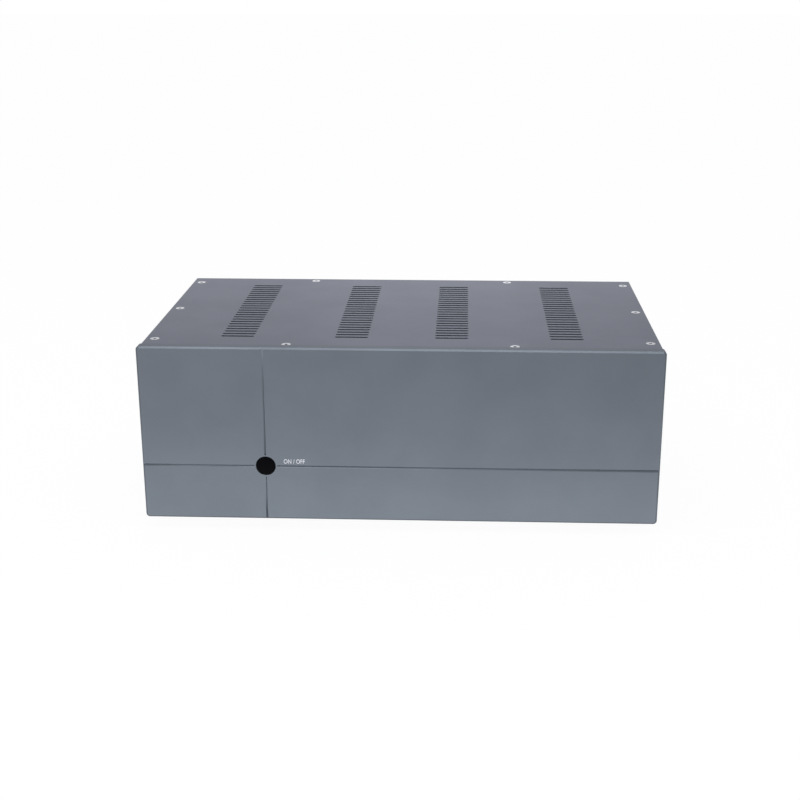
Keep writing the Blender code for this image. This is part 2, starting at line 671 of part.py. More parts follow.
def make_rear_panel():
    """The folded rear panel, with the cut-outs for a mains inlet, speaker posts and input sockets."""
    panel = make_folded_panel(
        "rear_panel", REAR_OUTER, -1, REAR_FLANGE, REAR_THICKNESS, REAR_BEND_RADIUS, COVER_FINISH
    )
    low, high = REAR_INNER - CUT_MARGIN, REAR_OUTER + CUT_MARGIN
    level = PANEL_LOW + CUTOUT_HEIGHT
    inlet_x = INLET_FROM_SIDE - BODY_WIDTH / 2
    left, right = inlet_x - INLET_WIDTH / 2, inlet_x + INLET_WIDTH / 2
    floor, top = level - INLET_HEIGHT / 2, level + INLET_HEIGHT / 2
    shoulder = top - INLET_CORNER
    inlet = [(left, floor), (right, floor), (right, shoulder), (right - INLET_CORNER, top)]
    inlet += [(left + INLET_CORNER, top), (left, shoulder)]
    cut_extrusion(panel, "inlet_cutout", [inlet], "Y", low, high)
    fixings = [(inlet_x + side * INLET_FIXING_SPACING / 2, level) for side in (-1, 1)]
    cut_bars(panel, "inlet_fixings", fixings, INLET_FIXING_DIAMETER, "Y", low, high)
    posts = [(x + side * POST_PAIR_SPACING / 2, level) for x in POST_PAIR_X for side in (-1, 1)]
    cut_bars(panel, "post_holes", posts, POST_DIAMETER, "Y", low, high)
    socket_x = BODY_WIDTH / 2 - SOCKET_FROM_SIDE
    sockets = [(socket_x, PANEL_LOW + SOCKET_HEIGHT + side * SOCKET_HALF_SPACING) for side in (-1, 1)]
    cut_bars(panel, "socket_holes", sockets, SOCKET_DIAMETER, "Y", low, high)
    cut_bars(panel, "port_holes", port_places(), M3_HOLE, "Y", low, high)
    cut_flanges(panel, "rear_row", REAR_ROW_Y, REAR_THICKNESS)


def make_button():
    """The turned power button and the switch plunger, which slide together along Y."""
    slide = bpy.data.objects.new("button_slide", None)
    slide.location = (BUTTON_X, PANEL_FRONT, BUTTON_Z)
    PARTS.objects.link(slide)

    radius = BUTTON_DIAMETER / 2
    flat = radius - BUTTON_EDGE_RADIUS
    shoulder = BUTTON_PROUD - BUTTON_DOME
    collar_back = PANEL_FRONT - COLLAR_BACK
    collar_front = collar_back + COLLAR_THICKNESS
    boss_back = PANEL_FRONT - BOSS_BACK
    crown = [(flat * part, shoulder + BUTTON_DOME * (1 - part**2)) for part in (0, 0.4, 0.75)]
    corner = arc((flat, shoulder - BUTTON_EDGE_RADIUS), BUTTON_EDGE_RADIUS, math.pi / 2, 0, 3)
    profile = crown + corner
    profile += [(radius, collar_front), (COLLAR_RADIUS, collar_front), (COLLAR_RADIUS, collar_back)]
    profile += [(BOSS_DIAMETER / 2, collar_back), (BOSS_DIAMETER / 2, boss_back), (0, boss_back)]
    button = add_part(turned("power_button", profile, ROUND_SEGMENTS), BUTTON_FINISH)
    button.parent = slide
    button.rotation_euler = facing((0, -1, 0)).to_euler()
    half = PLUNGER_HOLE / 2
    floor = BOSS_BACK - PLUNGER_GRIP - PANEL_FRONT
    mouth = BOSS_BACK + CUT_MARGIN - PANEL_FRONT
    cut(button, boxes("plunger_recess", [((-half, floor, -half), (half, mouth, half))]))

    half = PLUNGER_SIDE / 2
    tail = HOUSING_FRONT + PLUNGER_GRIP - PANEL_FRONT
    rod = boxes("switch_plunger", [((-half, floor + SEAT_GAP, -half), (half, tail, half))])
    add_part(rod, PLUNGER_FINISH).parent = slide


def make_switch():
    """The switch housing, with its plunger guide, screw holes and four terminals."""
    outline = rounded_rectangle(
        HOUSING_WIDTH / 2, -HOUSING_HALF_HEIGHT, HOUSING_HALF_HEIGHT, HOUSING_CHAMFER, 1
    )
    outline = [(BUTTON_X + x, BUTTON_Z + z) for x, z in outline]
    name = "switch_housing"
    housing = add_extrusion(name, [outline], "Y", HOUSING_FRONT, HOUSING_BACK, SWITCH_FINISH)
    low, high = HOUSING_BACK - TERMINAL_ROOT, HOUSING_BACK + TERMINAL_LENGTH
    wide, thin = TERMINAL_WIDTH / 2, TERMINAL_THICKNESS / 2
    blades = []
    for x in (BUTTON_X - TERMINAL_HALF_SPACING, BUTTON_X + TERMINAL_HALF_SPACING):
        for z in (BUTTON_Z - TERMINAL_HALF_SPACING, BUTTON_Z + TERMINAL_HALF_SPACING):
            blades.append(((x - wide, low, z - thin), (x + wide, high, z + thin)))
    cut(housing, boxes("terminals", blades), operation="UNION")
    half = PLUNGER_HOLE / 2
    deep = HOUSING_FRONT + PLUNGER_GRIP + BUTTON_TRAVEL + SEAT_GAP
    low = (BUTTON_X - half, HOUSING_FRONT - CUT_MARGIN, BUTTON_Z - half)
    high = (BUTTON_X + half, deep, BUTTON_Z + half)
    cut(housing, boxes("plunger_guide", [(low, high)]))
    floor = BUTTON_Z - HOUSING_HALF_HEIGHT
    top = floor + SWITCH_SCREW_GRIP + SEAT_GAP
    cut_bars(housing, "switch_threads", switch_screw_places(), M3_HOLE, "Z", floor - CUT_MARGIN, top)


def make_bracket():
    """The folded bracket that carries the switch: a leg on the inner plate and a shelf behind it."""
    low = SHELF_TOP - BRACKET_LEG
    path = [(LEG_FRONT, low), (LEG_FRONT, SHELF_TOP), (HOUSING_BACK, SHELF_TOP)]
    section = folded_section(path[::-1], BRACKET_THICKNESS, BRACKET_BEND_RADIUS)
    half = BRACKET_WIDTH / 2
    name = "switch_bracket"
    bracket = add_extrusion(name, [section], "X", BUTTON_X - half, BUTTON_X + half, SHEET_FINISH)
    under = SHELF_TOP - BRACKET_THICKNESS - CUT_MARGIN
    cut_bars(bracket, "shelf_holes", switch_screw_places(), M3_HOLE, "Z", under, SHELF_TOP + CUT_MARGIN)
    low, high = LEG_FRONT - CUT_MARGIN, LEG_FRONT + BRACKET_THICKNESS + CUT_MARGIN
    cut_bars(bracket, "leg_holes", bracket_screw_places(), M3_HOLE, "Y", low, high)


def make_feet():
    """Four turned feet, each with a rubber ring let into its underside and a screw in its well."""
    top = BASE_LOW - SEAT_GAP
    wide, narrow = FOOT_DIAMETER / 2, FOOT_DIAMETER / 2 - FOOT_FLARE
    recess, recess_top = narrow - FOOT_RIM_WALL, PAD_THICKNESS + SEAT_GAP
    well, well_top = FOOT_WELL_DIAMETER / 2, top - FOOT_SCREW_SEAT
    hole = M4_HOLE / 2
    profile = [(hole, top), (wide - FOOT_CHAMFER, top), (wide, top - FOOT_CHAMFER), (narrow, PAD_PROUD)]
    profile += [(recess, PAD_PROUD), (recess, recess_top), (well, recess_top), (well, well_top)]
    profile += [(hole, well_top), (hole, top)]
    foot = turned("foot", profile, FOOT_SEGMENTS)
    outer = recess - HOLE_CLEARANCE
    inner = outer - PAD_RING_WIDTH
    profile = [(inner, PAD_THICKNESS), (outer, PAD_THICKNESS), (outer, 0), (inner, 0), (inner, PAD_THICKNESS)]
    pad = turned("foot_pad", profile, FOOT_SEGMENTS)
    length = FOOT_SCREW_SEAT + 2 * SEAT_GAP + BASE_THICKNESS + SCREW_TIP
    screw = plain_screw("foot_screw", M4, length)
    for name, (x, y) in foot_places():
        add_part(foot, FOOT_FINISH, (x, y, 0), name=f"foot_{name}")
        add_part(pad, PAD_FINISH, (x, y, 0), name=f"foot_pad_{name}")
        seat = (x, y, well_top - SEAT_GAP)
        add_part(screw, SCREW_FINISH, seat, facing((0, 0, -1)), f"foot_screw_{name}")


def socketed(name, blank, size, top, head_height):
    """Cuts a hexagon socket into a turned screw, down from the top of its head."""
    screw = bpy.data.objects.new(name, blank)
    hexagon = circle((0, 0), size.key / math.sqrt(3), 6)
    depth = head_height * SOCKET_DEPTH_SHARE
    key = bpy.data.objects.new(name + "_key", extruded(name + "_key", [hexagon], "Z", 2 * depth))
    key.location = (0, 0, top)
    bpy.context.scene.collection.objects.link(key)
    socket = screw.modifiers.new("socket", "BOOLEAN")
    socket.solver = "EXACT"
    socket.object = key
    mesh = shaded(baked(screw))
    bpy.data.objects.remove(key)
    return mesh


def button_screw(name, size, length):
    """A button-head screw with a hexagon socket. It points down from its head's seat at zero."""
    flat = size.head * 0.26
    dome = [
        (flat + (size.head / 2 - flat) * math.sin(turn), size.head_height * math.cos(turn))
        for turn in (0.0, math.pi / 4, math.pi / 2)
    ]
    shank = size.shank / 2
    profile = [(0, size.head_height), *dome, (shank, 0), (shank, -length), (0, -length)]
    blank = turned(name + "_blank", profile, SCREW_SEGMENTS)
    return socketed(name, blank, size, size.head_height, size.head_height)


def plain_screw(name, size, length):
    """A screw with a plain round head, for hidden places. It points down from its head's seat at zero."""
    shank = size.shank / 2
    top = [(0, size.head_height), (size.head / 2, size.head_height), (size.head / 2, 0)]
    profile = top + [(shank, 0), (shank, -length), (0, -length)]
    return turned(name, profile, HIDDEN_SCREW_SEGMENTS)


def countersunk_screw(name, size, length, segments):
    """A countersunk screw that points down from its flat head's top at zero."""
    shank, head = size.shank / 2, size.countersunk_head / 2
    profile = [(0, 0), (head, 0), (shank, shank - head), (shank, -length), (0, -length)]
    return turned(name, profile, segments)


def make_outer_screws():
    """The ten screws of the cover, the ten of the bottom plate and the four of the rear panel."""
    length = COVER_THICKNESS + SEAT_GAP + SIDE_FLANGE + SCREW_TIP
    blank = countersunk_screw("cover_screw_blank", M4, length, SCREW_SEGMENTS)
    cover_screw = socketed("cover_screw", blank, M4, 0, (M4.countersunk_head - M4.shank) / 2)
    length = BASE_THICKNESS + 2 * SEAT_GAP + SIDE_FLANGE + SCREW_TIP
    base_screw = plain_screw("base_screw", M4, length)
    for i, (x, y) in enumerate(cover_screw_places()):
        add_part(cover_screw, SCREW_FINISH, (x, y, COVER_HIGH), name=f"cover_screw_{i + 1:02d}")
        seat = (x, y, BASE_LOW - SEAT_GAP)
        add_part(base_screw, SCREW_FINISH, seat, facing((0, 0, -1)), f"base_screw_{i + 1:02d}")
    rear_screw = button_screw("rear_screw", M3, PORT_SCREW_LENGTH)
    for i, (x, z) in enumerate(port_places()):
        seat = (x, REAR_OUTER + SEAT_GAP, z)
        add_part(rear_screw, SCREW_FINISH, seat, facing((0, 1, 0)), f"rear_screw_{i + 1}")


def make_inner_screws():
    """The screws of the inner plate, the front panel, the switch bracket and the switch."""
    plate_screw = countersunk_screw("plate_screw", M3, PORT_SCREW_LENGTH, HIDDEN_SCREW_SEGMENTS)
    for i, (x, z) in enumerate(port_places()):
        add_part(plate_screw, SCREW_FINISH, (x, BODY_FRONT, z), facing((0, -1, 0)), f"plate_screw_{i + 1}")

    length = INNER_THICKNESS + SEAT_GAP + PANEL_HOLE_DEPTH
    panel_screw = plain_screw("panel_screw", M4, length)
    for i, (x, z) in enumerate(panel_screw_places()):
        seat = (x, INNER_BACK + SEAT_GAP, z)
        add_part(panel_screw, SCREW_FINISH, seat, facing((0, 1, 0)), f"panel_screw_{i + 1}")

    length = BRACKET_THICKNESS + 2 * SEAT_GAP + INNER_THICKNESS
    bracket_screw = plain_screw("bracket_screw", M3, length)
    for name, (x, z) in zip(("left", "right"), bracket_screw_places()):
        seat = (x, LEG_FRONT + BRACKET_THICKNESS + SEAT_GAP, z)
        add_part(bracket_screw, SCREW_FINISH, seat, facing((0, 1, 0)), f"bracket_screw_{name}")

    length = BRACKET_THICKNESS + 2 * SEAT_GAP + SWITCH_SCREW_GRIP
    switch_screw = plain_screw("switch_screw", M3, length)
    for name, (x, y) in zip(("front", "rear"), switch_screw_places()):
        seat = (x, y, SHELF_TOP - BRACKET_THICKNESS - SEAT_GAP)
        add_part(switch_screw, SCREW_FINISH, seat, facing((0, 0, -1)), f"switch_screw_{name}")


clear_scene()
PARTS = new_collection("amplifier_chassis")
CUTTERS = new_collection("cutters")
PANEL_FINISH = new_material("anodised panel aluminium", (0.162, 0.181, 0.212), 0.45, 0.9)
COVER_FINISH = new_material("anodised body aluminium", (0.190, 0.200, 0.225), 0.5, 0.9)
SHEET_FINISH = new_material("plated steel sheet", (0.42, 0.43, 0.44), 0.45, 0.8)
BUTTON_FINISH = new_material("glossy black button", (0.008, 0.008, 0.009), 0.2, 0.0)
PLUNGER_FINISH = new_material("white nylon plunger", (0.75, 0.74, 0.70), 0.5, 0.0)
SWITCH_FINISH = new_material("black moulded switch", (0.02, 0.02, 0.02), 0.5, 0.0)
SCREW_FINISH = new_material("bright plated screw", (0.70, 0.71, 0.73), 0.25, 1.0)
FOOT_FINISH = new_material("turned foot aluminium", (0.10, 0.105, 0.115), 0.4, 0.9)
PAD_FINISH = new_material("black foot rubber", (0.015, 0.015, 0.015), 0.85, 0.0)

make_front_panel()
make_inner_plate()
make_sides()
make_rear_panel()
make_cover()
make_bottom_plate()
make_button()
make_switch()
make_bracket()
make_feet()
make_outer_screws()
make_inner_screws()
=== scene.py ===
"""Looks of the amplifier chassis: finishes, fine pieces, print, studio and camera.

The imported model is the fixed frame. Each class below stands for one sub-assembly of it. Sizes are
metres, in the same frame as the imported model: +Z up, the front panel facing -Y, the feet on z = 0.
"""

import logging
import math
from dataclasses import dataclass
from enum import Enum
from typing import Any, Callable, Sequence

import bmesh
import bpy
from mathutils import Euler, Matrix, Vector


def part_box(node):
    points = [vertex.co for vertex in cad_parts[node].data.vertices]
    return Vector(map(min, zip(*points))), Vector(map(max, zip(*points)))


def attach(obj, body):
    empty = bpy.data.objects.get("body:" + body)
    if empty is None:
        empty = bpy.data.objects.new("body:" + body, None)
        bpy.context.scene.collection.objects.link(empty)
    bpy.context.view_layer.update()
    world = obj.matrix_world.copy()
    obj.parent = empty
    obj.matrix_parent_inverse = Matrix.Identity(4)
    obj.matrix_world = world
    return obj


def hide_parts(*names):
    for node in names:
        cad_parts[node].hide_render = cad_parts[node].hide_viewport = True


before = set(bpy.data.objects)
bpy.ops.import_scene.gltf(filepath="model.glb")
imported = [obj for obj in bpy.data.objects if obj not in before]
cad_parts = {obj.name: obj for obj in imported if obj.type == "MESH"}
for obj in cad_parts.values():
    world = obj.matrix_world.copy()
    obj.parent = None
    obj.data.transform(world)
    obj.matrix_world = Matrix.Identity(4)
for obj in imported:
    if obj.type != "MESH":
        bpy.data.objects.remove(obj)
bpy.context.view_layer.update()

log = logging.getLogger("amplifier_chassis")

MM = 0.001
CUT_MARGIN = 1.0 * MM
ON_AXIS = 1e-9
SMOOTH_ANGLE = 30.0
FULL_WEIGHT = 100
TURNED_SEGMENTS = 96
HOLE_SEGMENTS = 48
BLIND_HOLE_SEGMENTS = 32
CORNERS = ("front_left", "front_right", "rear_left", "rear_right")

Point2 = tuple[float, float]
Loop = Sequence[Point2]


class Body(Enum):
    """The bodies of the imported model."""

    CHASSIS = "chassis"
    BUTTON = "button"


class Slot(Enum):
    """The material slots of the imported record."""

    PANEL = "panel_aluminium"
    BODY = "body_aluminium"
    SHEET = "steel_sheet"
    BUTTON = "button_black"
    PLUNGER = "plunger_nylon"
    SWITCH = "switch_plastic"
    FOOT = "foot_aluminium"
    PAD = "pad_rubber"
    SCREW = "screw_steel"


class Axis(Enum):
    """The direction that an outline is extruded along, as its place in a point."""

    X = 0
    Y = 1
    Z = 2


# Colour and nodes


def linear(colour: str) -> tuple[float, float, float, float]:
    """Turns an sRGB hex colour into Blender's linear colour.

    Args:
        colour: Six hex digits, such as "7A8088".

    Returns:
        Red, green, blue and an alpha of one.
    """
    channels = [int(colour[i : i + 2], 16) / 255 for i in (0, 2, 4)]
    low = [c / 12.92 if c <= 0.04045 else ((c + 0.055) / 1.055) ** 2.4 for c in channels]
    return (low[0], low[1], low[2], 1.0)


def add_node(
    tree: bpy.types.NodeTree,
    kind: str,
    settings: dict[str, Any] | None = None,
    values: dict[int | str, Any] | None = None,
    links: dict[int | str, bpy.types.NodeSocket] | None = None,
) -> bpy.types.Node:
    """Adds one node to a tree.

    Args:
        tree: The node tree.
        kind: The node's type name.
        settings: The node's own properties.
        values: Values of its unlinked inputs, by the input's name or number.
        links: Output sockets to link to its inputs, by the input's name or number.

    Returns:
        The new node.
    """
    node = tree.nodes.new(kind)
    for name, value in (settings or {}).items():
        setattr(node, name, value)
    for name, value in (values or {}).items():
        node.inputs[name].default_value = value
    for name, socket in (links or {}).items():
        tree.links.new(socket, node.inputs[name])
    return node


# Finishes

TONE_STOPS = (0.35, 0.65)
SLOW_DETAIL = 3.0
FINE_DETAIL = 2.0
FINE_ROUGHNESS = 0.6


@dataclass(frozen=True)
class Finish:
    """One real material with the way that its surface was made.

    Grain is the pitch of its fine texture and patch that of its slow tone changes, both in metres.
    Relief is the fine texture's height. The edge tint colours what it reflects at a flat angle.
    """

    title: str
    colours: tuple[str, str]
    roughness: tuple[float, float]
    grain: float
    relief: float
    metallic: float = 0.0
    patch: float = 40 * MM
    stretch: tuple[float, float, float] = (1.0, 1.0, 1.0)
    specular: float = 0.5
    edge_tint: str = "FFFFFF"

    def material(self) -> bpy.types.Material:
        """Builds the material's nodes.

        Returns:
            The new material.
        """
        made = bpy.data.materials.new(self.title)
        made.use_nodes = True
        tree = made.node_tree
        shader = tree.nodes["Principled BSDF"]
        shader.inputs["Metallic"].default_value = self.metallic
        shader.inputs["Specular IOR Level"].default_value = self.specular
        shader.inputs["Specular Tint"].default_value = linear(self.edge_tint)
        place = {"Vector": add_node(tree, "ShaderNodeTexCoord").outputs["Object"]}
        values = {"Scale": 1 / self.patch, "Detail": SLOW_DETAIL}
        slow = add_node(tree, "ShaderNodeTexNoise", values=values, links=place).outputs["Fac"]
        ramp = add_node(tree, "ShaderNodeValToRGB", links={"Fac": slow})
        for stop, position, colour in zip(ramp.color_ramp.elements, TONE_STOPS, self.colours):
            stop.position = position
            stop.color = linear(colour)
        tree.links.new(ramp.outputs["Color"], shader.inputs["Base Color"])
        spread = add_node(tree, "ShaderNodeMapping", values={"Scale": self.stretch}, links=place)
        place = {"Vector": spread.outputs["Vector"]}
        values = {"Scale": 1 / self.grain, "Detail": FINE_DETAIL, "Roughness": FINE_ROUGHNESS}
        fine = add_node(tree, "ShaderNodeTexNoise", values=values, links=place).outputs["Fac"]
        values = {"To Min": self.roughness[0], "To Max": self.roughness[1]}
        gloss = add_node(tree, "ShaderNodeMapRange", values=values, links={"Value": fine})
        tree.links.new(gloss.outputs["Result"], shader.inputs["Roughness"])
        values = {"Strength": 1.0, "Distance": self.relief}
        bump = add_node(tree, "ShaderNodeBump", values=values, links={"Height": fine})
        tree.links.new(bump.outputs["Normal"], shader.inputs["Normal"])
        return made


# Bead-blasted, then anodised in titanium grey: an even satin sheen with no grain direction. The
# blast's pits are about 0.1 mm, drawn here at 0.5 mm so that they still show as a soft tooth. They
# trap light at flat angles, so the edge tint is a little below white.
PANEL_FINISH = Finish(
    "bead-blasted anodised aluminium, titanium grey",
    ("61676F", "646A72"),
    metallic=1.0,
    roughness=(0.40, 0.50),
    grain=0.5 * MM,
    relief=0.004 * MM,
    edge_tint="E0E0E4",
)

# The body's plates are anodised in the same bath but blasted finer, so they look a little paler
# and more neutral than the front panel.
BODY_FINISH = Finish(
    "fine bead-blasted anodised aluminium",
    ("696D77", "6D717B"),
    metallic=1.0,
    roughness=(0.42, 0.50),
    grain=0.5 * MM,
    relief=0.003 * MM,
    edge_tint="E0E0E4",
)

# Electro-galvanised sheet steel: pale grey with faint streaks along the way that it was rolled.
SHEET_FINISH = Finish(
    "electro-galvanised rolled steel",
    ("9DA0A2", "B0B2B2"),
    metallic=1.0,
    roughness=(0.34, 0.50),
    grain=1.2 * MM,
    relief=0.004 * MM,
    patch=25 * MM,
    stretch=(0.06, 1.0, 1.0),
)

# Black lacquer, rubbed down: deep black that takes only a faint, soft shine.
BUTTON_FINISH = Finish(
    "rubbed black lacquer on aluminium",
    ("040406", "060608"),
    roughness=(0.22, 0.32),
    grain=0.6 * MM,
    relief=0.002 * MM,
    patch=8 * MM,
    specular=0.02,
)

# Natural nylon 66, moulded: milky white, waxy, with a faint flow texture.
PLUNGER_FINISH = Finish(
    "moulded natural nylon",
    ("DAD6C8", "E2DED2"),
    roughness=(0.42, 0.52),
    grain=0.8 * MM,
    relief=0.01 * MM,
    patch=6 * MM,
)

# Glass-filled nylon, moulded and spark-textured: a dry, even black.
SWITCH_FINISH = Finish(
    "spark-textured black glass-filled nylon",
    ("18181A", "202022"),
    roughness=(0.50, 0.66),
    grain=0.35 * MM,
    relief=0.02 * MM,
    patch=10 * MM,
)

# Aluminium turned on a lathe and anodised dark: fine rings round the axis catch the light.
FOOT_FINISH = Finish(
    "turned and anodised aluminium",
    ("5E636B", "666B73"),
    metallic=1.0,
    roughness=(0.28, 0.40),
    grain=0.6 * MM,
    relief=0.006 * MM,
    patch=20 * MM,
    stretch=(0.15, 0.15, 1.0),
)

# Nitrile rubber, moulded: near black, matt, with a slight bloom.
PAD_FINISH = Finish(
    "moulded nitrile rubber",
    ("1A1A1B", "252526"),
    roughness=(0.72, 0.88),
    grain=0.5 * MM,
    relief=0.03 * MM,
    patch=9 * MM,
    specular=0.3,
)

# Zinc-plated steel, clear passivated and barrel finished: bright, faintly blue, with softened marks.
SCREW_FINISH = Finish(
    "barrel-finished, clear zinc-plated steel",
    ("A8AAB0", "B4B6BB"),
    metallic=1.0,
    roughness=(0.26, 0.38),
    grain=0.4 * MM,
    relief=0.004 * MM,
    patch=3 * MM,
)

# Silk-screened epoxy ink: a flat pale grey, a few hundredths of a millimetre thick.
PRINT_FINISH = Finish(
    "silk-screened pale grey epoxy ink",
    ("BCBDC3", "C6C8CD"),
    roughness=(0.45, 0.60),
    grain=0.3 * MM,
    relief=0.004 * MM,
    patch=4 * MM,
)


class Workshop:
    """Holds the finishes' materials, each made once, by the record's slot."""

    def __init__(self) -> None:
        """Makes the materials."""
        finishes = {
            Slot.PANEL: PANEL_FINISH,
            Slot.BODY: BODY_FINISH,
            Slot.SHEET: SHEET_FINISH,
            Slot.BUTTON: BUTTON_FINISH,
            Slot.PLUNGER: PLUNGER_FINISH,
            Slot.SWITCH: SWITCH_FINISH,
            Slot.FOOT: FOOT_FINISH,
            Slot.PAD: PAD_FINISH,
            Slot.SCREW: SCREW_FINISH,
        }
        self.materials = {slot: finish.material() for slot, finish in finishes.items()}
        self.ink = PRINT_FINISH.material()

    def dress(self, piece: bpy.types.Object, slot: Slot, body: Body, *nodes: str) -> None:
        """Gives a piece its material, its body and the CAD nodes that it stands for.

        Args:
            piece: The finished piece, in place.
            slot: The record's slot that it takes its finish from.
            body: The body that it moves with.
            nodes: The CAD nodes that it replaces.
        """
        piece.data.materials.clear()
        piece.data.materials.append(self.materials[slot])
        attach(piece, body.value)
        if nodes:
            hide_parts(*nodes)
        log.info("%s: %d faces, %s", piece.name, len(piece.data.polygons), slot.value)


# Outlines


def arc(centre: Point2, radius: float, start: float, end: float, steps: int) -> list[Point2]:
    """Points along an arc, both ends included.

    Args:
        centre: The arc's centre.
        radius: Its radius.
        start: Its first angle in radians.
        end: Its last angle in radians.
        steps: How many chords it has.

    Returns:
        The points.
    """
    angles = [start + (end - start) * i / steps for i in range(steps + 1)]
    return [(centre[0] + radius * math.cos(a), centre[1] + radius * math.sin(a)) for a in angles]


def circle(centre: Point2, radius: float, segments: int) -> list[Point2]:
    """A closed circle's points, each once, as arc gives them."""
    return arc(centre, radius, 0.0, 2 * math.pi * (1 - 1 / segments), segments - 1)


def rounded_box(half_width: float, low: float, high: float, radius: float, steps: int) -> list[Point2]:
    """A rectangle's outline with round corners, symmetric about zero.

    Args:
        half_width: Half the width.
        low: The lower edge.
        high: The upper edge.
        radius: The corners' radius.
        steps: Chords in each corner.

    Returns:
        The points, anticlockwise.
    """
    x = half_width - radius
    top, foot = high - radius, low + radius
    points: list[Point2] = []
    for u, v, turn in ((x, top, 0.0), (-x, top, 0.5), (-x, foot, 1.0), (x, foot, 1.5)):
        points += arc((u, v), radius, turn * math.pi, (turn + 0.5) * math.pi, steps)
    return points


def stadium(x: float, y: float, length: float, width: float, steps: int) -> list[Point2]:
    """A slot's outline with round ends, along the first axis.

    Args:
        x: The centre's first coordinate.
        y: The centre's second coordinate.
        length: The length over the ends.
        width: The width.
        steps: Chords in each end.

    Returns:
        The points, anticlockwise.
    """
    half = (length - width) / 2
    right = arc((x + half, y), width / 2, -math.pi / 2, math.pi / 2, steps)
    left = arc((x - half, y), width / 2, math.pi / 2, 1.5 * math.pi, steps)
    return right + left


def inset(loop: Loop, distance: float) -> list[Point2]:
    """Moves every side of a closed anticlockwise outline inwards, keeping its corners sharp.

    Args:
        loop: The outline's points.
        distance: How far, negative for outwards.

    Returns:
        The moved points, in the same order.
    """
    count = len(loop)
    moved = []
    for i, (x, y) in enumerate(loop):
        before, after = loop[i - 1], loop[(i + 1) % count]
        a = Vector((x - before[0], y - before[1])).normalized()
        b = Vector((after[0] - x, after[1] - y)).normalized()
        inner_a, inner_b = Vector((-a.y, a.x)), Vector((-b.y, b.x))
        mean = inner_a + inner_b
        reach = distance * 2 / mean.length_squared
        moved.append((x + mean.x * reach, y + mean.y * reach))
    return moved


# Meshes


def placed(name: str, data: bpy.types.ID) -> bpy.types.Object:
    """Makes an object of a mesh, curve, light or camera and links it to the scene."""
    piece = bpy.data.objects.new(name, data)
    bpy.context.scene.collection.objects.link(piece)
    return piece


def applied(piece: bpy.types.Object) -> None:
    """Turns a piece's modifiers into its mesh.

    Args:
        piece: The piece, already in the scene.
    """
    bpy.context.view_layer.update()
    graph = bpy.context.evaluated_depsgraph_get()
    mesh = bpy.data.meshes.new_from_object(
        piece.evaluated_get(graph), preserve_all_data_layers=True, depsgraph=graph
    )
    before = piece.data
    piece.modifiers.clear()
    piece.data = mesh
    bpy.data.meshes.remove(before)
    mesh.name = piece.name


def shaded(piece: bpy.types.Object, angle: float) -> None:
    """Shades a piece smooth but sharp above an angle, with its large faces flat up to their rims.

    Args:
        piece: The piece, already in the scene.
        angle: The angle in degrees.
    """
    piece.data.shade_smooth()
    piece.data.set_sharp_from_angle(angle=math.radians(angle))
    normals = piece.modifiers.new("flat faces", "WEIGHTED_NORMAL")
    normals.weight = FULL_WEIGHT
    normals.keep_sharp = True
    applied(piece)


def finished(name: str, work: bmesh.types.BMesh, angle: float = SMOOTH_ANGLE) -> bpy.types.Object:
    """Turns a bmesh into a shaded object in the scene.

    Args:
        name: The object's name.
        work: The bmesh, which is freed.
        angle: The angle in degrees above which an edge is sharp.

    Returns:
        The new object.
    """
    bmesh.ops.recalc_face_normals(work, faces=work.faces)
    mesh = bpy.data.meshes.new(name)
    work.to_mesh(mesh)
    work.free()
    piece = placed(name, mesh)
    shaded(piece, angle)
    return piece


def add_loft(work: bmesh.types.BMesh, rings: Sequence[Sequence[Vector]], round_again: bool = False) -> None:
    """Adds a closed skin over rings of equal count. A ring of one point closes its end to a tip.

    Args:
        work: The bmesh that takes the skin.
        rings: The rings in order, each a closed loop.
        round_again: Whether the last ring joins the first, in place of a cap on each.
    """
    rows = [[work.verts.new(point) for point in ring] for ring in rings]
    for low, high in zip(rows, rows[1:] + (rows[:1] if round_again else [])):
        count = max(len(low), len(high))
        for i in range(count):
            j = (i + 1) % count
            if len(low) == 1:
                work.faces.new((low[0], high[i], high[j]))
            elif len(high) == 1:
                work.faces.new((low[i], low[j], high[0]))
            else:
                work.faces.new((low[i], low[j], high[j], high[i]))
    for row in () if round_again else (rows[0], rows[-1]):
        if len(row) > 1:
            work.faces.new(row)


def levelled(loop: Loop, place: float, axis: Axis) -> list[Vector]:
    """An outline's points in space, at a place along the axis that it is extruded on."""
    at = axis.value
    return [Vector((*point[:at], place, *point[at:])) for point in loop]


def add_prism(
    work: bmesh.types.BMesh, loop: Loop, axis: Axis, steps: Sequence[tuple[float, float]]
) -> None:
    """Adds a prism whose outline is inset by a step at each of its levels.

    Args:
        work: The bmesh that takes the prism.
        loop: The outline.
        axis: The prism's axis.
        steps: Its levels along the axis with the inset at each, lowest level first.
    """
    add_loft(work, [levelled(inset(loop, step), place, axis) for place, step in steps])


def edge_break(low: float, high: float, size: float) -> list[tuple[float, float]]:
    """The levels of a prism with both ends' edges broken by two small facets.

    Args:
        low: The lower end.
        high: The upper end.
        size: The break's width, in the end's plane and along the axis.

    Returns:
        Levels with insets, for add_prism.
    """
    small = 0.3 * size
    return [
        (low, size),
        (low + small, small),
        (low + size, 0.0),
        (high - size, 0.0),
        (high - small, small),
        (high, size),
    ]


def flared(low: float, high: float, size: float) -> list[tuple[float, float]]:
    """The levels of a cutter for a hole whose two mouths are broken at 45 degrees.

    Args:
        low: The lower surface.
        high: The upper surface.
        size: The break's width.

    Returns:
        Levels with insets, for add_prism.
    """
    wide = -(size + CUT_MARGIN)
    return [(low - CUT_MARGIN, wide), (low + size, 0.0), (high - size, 0.0), (high + CUT_MARGIN, wide)]


